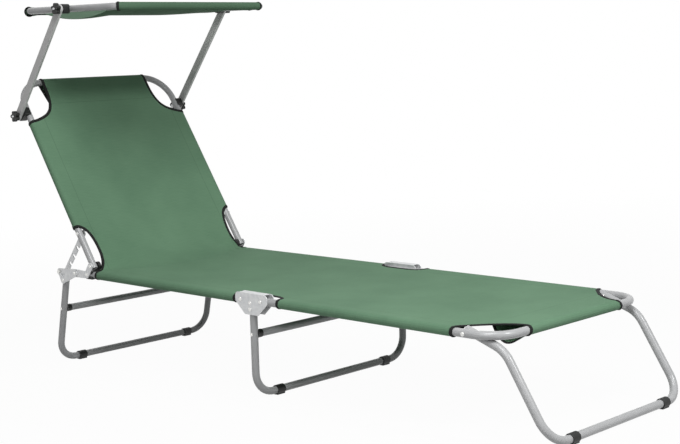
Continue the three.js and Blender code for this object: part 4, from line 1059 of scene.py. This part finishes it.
def swept_tape(bm, layer, points, outs, width):
    rings = []
    run = 0.0
    last = len(points) - 1
    for i, point in enumerate(points):
        heading = (points[min(last, i + 1)] - points[max(0, i - 1)]).normalized()
        out = (outs[i] - heading * outs[i].dot(heading)).normalized()
        place = Matrix((out * width, heading.cross(out) * TAPE_HALF_THICKNESS, heading)).transposed().to_4x4()
        place.translation = point - out * width * 0.6
        made = bmesh.ops.create_circle(bm, segments=10, radius=1.0, matrix=place)["verts"]
        rings.append((made, run))
        run += (points[min(last, i + 1)] - point).length
    for (a, run_a), (b, run_b) in zip(rings, rings[1:]):
        edges = {e for v in a for e in v.link_edges if all(x in a for x in e.verts)}
        edges |= {e for v in b for e in v.link_edges if all(x in b for x in e.verts)}
        for face in bmesh.ops.bridge_loops(bm, edges=list(edges))["faces"]:
            for loop in face.loops:
                loop[layer].uv = (0.0, run_a if loop.vert in a else run_b)
    for made, _ in (rings[0], rings[-1]):
        rim = {e for v in made for e in v.link_edges if all(x in made for x in e.verts)}
        bmesh.ops.contextual_create(bm, geom=list(rim))


def even_steps(path):
    """The same path with its points a step apart and its corners eased."""
    points = [Vector(path[0])]
    for a, b in zip(path, path[1:]):
        a, b = Vector(a), Vector(b)
        count = max(1, round((b - a).length / TAPE_STEP))
        points += [a.lerp(b, (i + 1) / count) for i in range(count)]
    for _ in range(3):
        inner = [(p + q * 2 + r) / 4 for p, q, r in zip(points, points[1:], points[2:])]
        points = [points[0], *inner, points[-1]]
    return points


def taped(bm, layer, path, side, place_on, width):
    """Tape along a path drawn flat on the cloth as (along, across), with the cloth on its right."""
    flat = even_steps(path)
    points, outs = [], []
    for i, p in enumerate(flat):
        heading = (flat[min(i + 1, len(flat) - 1)] - flat[max(0, i - 1)]).normalized()
        out = Vector((-heading.y, heading.x)) * 0.001
        points.append(place_on(p.x, side * p.y))
        outs.append(place_on(p.x + out.x, side * (p.y + out.y)) - place_on(p.x - out.x, side * (p.y - out.y)))
    swept_tape(bm, layer, points, outs, width)


def edge_path(q_from, q_to):
    return [(q, edge_run(q)) for q in stations(q_from, q_to, 0.006)]


def binding(name, paths, body, place_on, width=0.0046):
    bm = bmesh.new()
    layer = bm.loops.layers.uv.new("cloth")
    for _, side in SIDES:
        for path in paths:
            taped(bm, layer, path, side, place_on, width)
    return finished(name, bm, body, binding_tape, smooth=60)


def mouth(q, inward):
    """Path round the mouth of a side pocket, from the seam under it outward or back."""
    steps = [SIDE_FOLD + (POCKET_END - SIDE_FOLD) * i / POCKET_COLUMNS for i in range(1, POCKET_COLUMNS + 1)]
    return [(q, w) for w in (reversed(steps) if inward else steps)]


def bindings():
    top = edge_path(TOP_Q - WRAP, TOP_MOUTH) + mouth(TOP_MOUTH, False)
    crook = mouth(CROOK_MOUTH, True) + edge_path(CROOK_MOUTH, SEAT_MOUTH) + mouth(SEAT_MOUTH, False)
    middle = mouth(MIDDLE_MOUTHS[0], True) + edge_path(*MIDDLE_MOUTHS) + mouth(MIDDLE_MOUTHS[1], False)
    foot = mouth(FOOT_MOUTH, True) + edge_path(FOOT_MOUTH, END_Q + WRAP)
    binding("top_bindings", [top], "backrest", cloth_point)
    piece = binding("crook_bindings", [crook], None, cloth_point)
    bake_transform(piece)
    piece = binding("middle_bindings", [middle], None, cloth_point)
    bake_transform(piece)
    binding("foot_bindings", [foot], "foot_section", cloth_point)


# Canopy cloth: one sheet that hangs between the front and the rear bar, with a pocket round each
CANOPY_TURN, CANOPY_FLAP = math.radians(225), 0.026
CANOPY_WRAP = CANOPY_TURN * CLOTH_RADIUS + CANOPY_FLAP
CANOPY_SLEEVE, CANOPY_HEM, CANOPY_SHIFT = 0.249, 0.235, -0.006
CANOPY_SAG, CANOPY_GAPE = 0.038, 0.0055
# the canopy has the bed's own canvas, drawn darker: painted shade for the shade its cloth lies in
canopy_canvas_painted_shade = woven_green_canvas("woven_green_canvas_canopy_painted_darker", [CANOPY_HEM - 0.012],
                                   [0.030, 2 * CANOPY_ALONG - 0.030], "#46614c", "#54715a")


def canopy_half_width(run):
    away = abs(run - CANOPY_ALONG) / CANOPY_ALONG
    return CANOPY_HEM + (CANOPY_SLEEVE - CANOPY_HEM) * eased(away, 0.55, 0.97)


def canopy_point(run, y):
    """The canopy cloth's middle surface: run is the way forward from the top of the rear bar."""
    past = max(-run, run - 2 * CANOPY_ALONG)
    end = -1 if run < CANOPY_ALONG else 1
    y += CANOPY_SHIFT
    straight = CANOPY_ACROSS - CANOPY_BEND
    turned = max(0.0, abs(y) - straight) / CANOPY_BEND
    side = -1 if y < 0 else 1
    if past > 0:
        turn = min(past / CLOTH_RADIUS, CANOPY_TURN)
        back = max(0.0, past - CANOPY_TURN * CLOTH_RADIUS)
        # the near mouth of the rear sleeve gapes behind the corner of the tube
        gape = CANOPY_GAPE * eased(-y, 0.215, 0.252) if end < 0 else 0.0
        around = CLOTH_RADIUS + gape * math.sin(turn * math.pi / CANOPY_TURN)
        reach = CANOPY_BEND + around * math.sin(turn) - back * 0.95
        x = CANOPY_ALONG - CANOPY_BEND + reach * math.cos(turned)
        if turned:
            y = side * (straight + max(0.004, reach) * math.sin(turned))
        z = around * math.cos(turn) - back * 0.12
        return CANOPY @ Vector((x * end, y, z))
    share = (run - CANOPY_ALONG) / CANOPY_ALONG
    # the near hem hangs lower than the middle, and the far one is tighter
    hem = 0.26 * eased(-y, 0.12, CANOPY_HEM) - 0.16 * eased(y, 0.05, CANOPY_HEM)
    drop = CANOPY_SAG * (1 - share ** 2) * (0.75 + hem)
    x = run - CANOPY_ALONG - CANOPY_BEND * (1 - math.cos(turned)) * share
    if turned:
        y = side * (straight + CANOPY_BEND * math.sin(turned))
    return CANOPY @ Vector((x, y, CLOTH_RADIUS - drop))


def canopy_cloth():
    bm = bmesh.new()
    layer = bm.loops.layers.uv.new("cloth")
    total, count = 2 * CANOPY_ALONG + 2 * CANOPY_WRAP, 110
    rows = [total * i / count - CANOPY_WRAP for i in range(count + 1)]
    grid_sheet(bm, rows, 60, lambda run: (-canopy_half_width(run), canopy_half_width(run)), layer,
               canopy_point)
    # the canopy's darker green is painted shade
    piece, area = woven_piece("canopy_sheet", bm, "canopy", canopy_canvas_painted_shade, ["canopy_cloth"])
    paths = []
    overlap, count = 0.006, 40
    for start in (-CANOPY_WRAP, 2 * CANOPY_ALONG - overlap):
        runs = [start + (CANOPY_WRAP + overlap) * i / count for i in range(count + 1)]
        paths.append([(run, canopy_half_width(run)) for run in runs])
    binding("canopy_bindings", paths, "canopy", canopy_point, 0.004)


# Camera, as fitted to about sixty measured points of the photograph
FOCAL_PIXELS, PHOTO_WIDTH = 1345.6, 680


def camera():
    yaw, pitch, roll = math.radians(44.95), math.radians(-5.94), math.radians(-3.21)
    forward = Vector((-math.sin(yaw) * math.cos(pitch), math.cos(yaw) * math.cos(pitch), math.sin(pitch)))
    right = Vector((math.cos(yaw), math.sin(yaw), 0))
    up = right.cross(forward)
    right, up = (math.cos(roll) * right + math.sin(roll) * up, -math.sin(roll) * right + math.cos(roll) * up)
    lens = bpy.data.cameras.new("camera")
    lens.sensor_width = 36.0
    lens.lens = FOCAL_PIXELS / PHOTO_WIDTH * lens.sensor_width
    seen = bpy.data.objects.new("camera", lens)
    seen.matrix_world = Matrix((right, up, -forward)).transposed().to_4x4()
    seen.location = (2.5142, -2.4116, 0.7672)
    bpy.context.scene.collection.objects.link(seen)
    bpy.context.scene.camera = seen


def sees_white(tree):
    """1 for the rays that see white surroundings: straight ones, and those that metal or glass sends on."""
    ray = add(tree, "ShaderNodeLightPath")
    seen = ray.outputs["Is Camera Ray"]
    for kind in ("Is Transmission Ray", "Is Glossy Ray"):
        seen = add(tree, "ShaderNodeMath", settings={"operation": "MAXIMUM"}, sockets={
            0: seen, 1: ray.outputs[kind]}).outputs["Value"]
    return seen


# Studio: pale floor, white surroundings, a key lamp from the foot end, a soft one above and one near by
def pale_floor():
    made, tree = new_material("pale_floor")
    shade = add(tree, "ShaderNodeBsdfDiffuse", sockets={"Color": linear("#bcbcbc")})
    glow = add(tree, "ShaderNodeEmission", sockets={"Color": linear("#ffffff"), "Strength": 1.0})
    # the sweep behind the floor starts 1.5 m out, where the floor fades into the white surroundings
    place = add(tree, "ShaderNodeTexCoord").outputs["Object"]
    away = add(tree, "ShaderNodeVectorMath", settings={"operation": "LENGTH"}, sockets={0: place})
    fade = add(tree, "ShaderNodeMapRange", sockets={
        "Value": away.outputs["Value"], "From Min": 1.5, "From Max": 5.0, "To Min": 0.97, "To Max": 1.0})
    part = add(tree, "ShaderNodeMath", settings={"operation": "MULTIPLY"}, sockets={
        0: sees_white(tree), 1: fade.outputs["Result"]})
    mixed = add(tree, "ShaderNodeMixShader", sockets={
        "Fac": part.outputs["Value"], 1: shade.outputs["BSDF"], 2: glow.outputs["Emission"]})
    output(tree, mixed.outputs["Shader"])
    return made


def studio():
    sheet = bmesh.new()
    bmesh.ops.create_grid(sheet, x_segments=1, y_segments=1, size=30.0)
    just_below = Matrix.Translation((0, 0, -0.0005))
    finished("floor", sheet, None, pale_floor(), just_below, closed=False)
    world = bpy.data.worlds.new("studio")
    bpy.context.scene.world = world
    world.use_nodes = True
    tree = world.node_tree
    tree.nodes.clear()
    soft = add(tree, "ShaderNodeBackground", sockets={"Color": linear("#ffffff"), "Strength": 0.17})
    white = add(tree, "ShaderNodeBackground", sockets={"Color": linear("#ffffff"), "Strength": 1.0})
    mixed = add(tree, "ShaderNodeMixShader", sockets={
        "Fac": sees_white(tree), 1: soft.outputs["Background"], 2: white.outputs["Background"]})
    add(tree, "ShaderNodeOutputWorld", sockets={"Surface": mixed.outputs["Shader"]})
    for name, place, target, size, power in (
            ("key", (3.4, 0.2, 2.75), (-0.4, 0, 0.5), 0.5, 62.0),
            ("top", (1.5, -1.3, 3.1), (0.3, -0.1, 0.3), 1.6, 56.0),
            ("near", (1.3, -1.5, 1.2), (0.6, -0.2, 0.25), 0.6, 7.0)):
        light = bpy.data.lights.new(name, "AREA")
        light.shape, light.size, light.energy = "DISK", size, power
        lamp = bpy.data.objects.new(name, light)
        lamp.location = place
        lamp.rotation_mode = "QUATERNION"
        lamp.rotation_quaternion = (Vector(target) - Vector(place)).to_track_quat("-Z", "Y")
        bpy.context.scene.collection.objects.link(lamp)


def cad_finishes():
    """Gives each CAD node that still shows the finish of its own kind."""
    kinds = {"frame_tube": tube_lacquer, "pressed_plate": plate_zinc, "rivet_steel": rivet_nickel,
             "black_plastic": black_nylon, "green_cloth": green_canvas}
    slot_of = {p["node"]: p["material_slot"] for p in frame["record"]["subparts"]}
    for name, piece in frame["nodes"].items():
        piece.data.materials.clear()
        piece.data.materials.append(kinds[slot_of[name]])


camera()
studio()
cad_finishes()
tubes()
hardware()
cloths()
bindings()
canopy_cloth()

scene = bpy.context.scene
scene.view_settings.view_transform = "Standard"
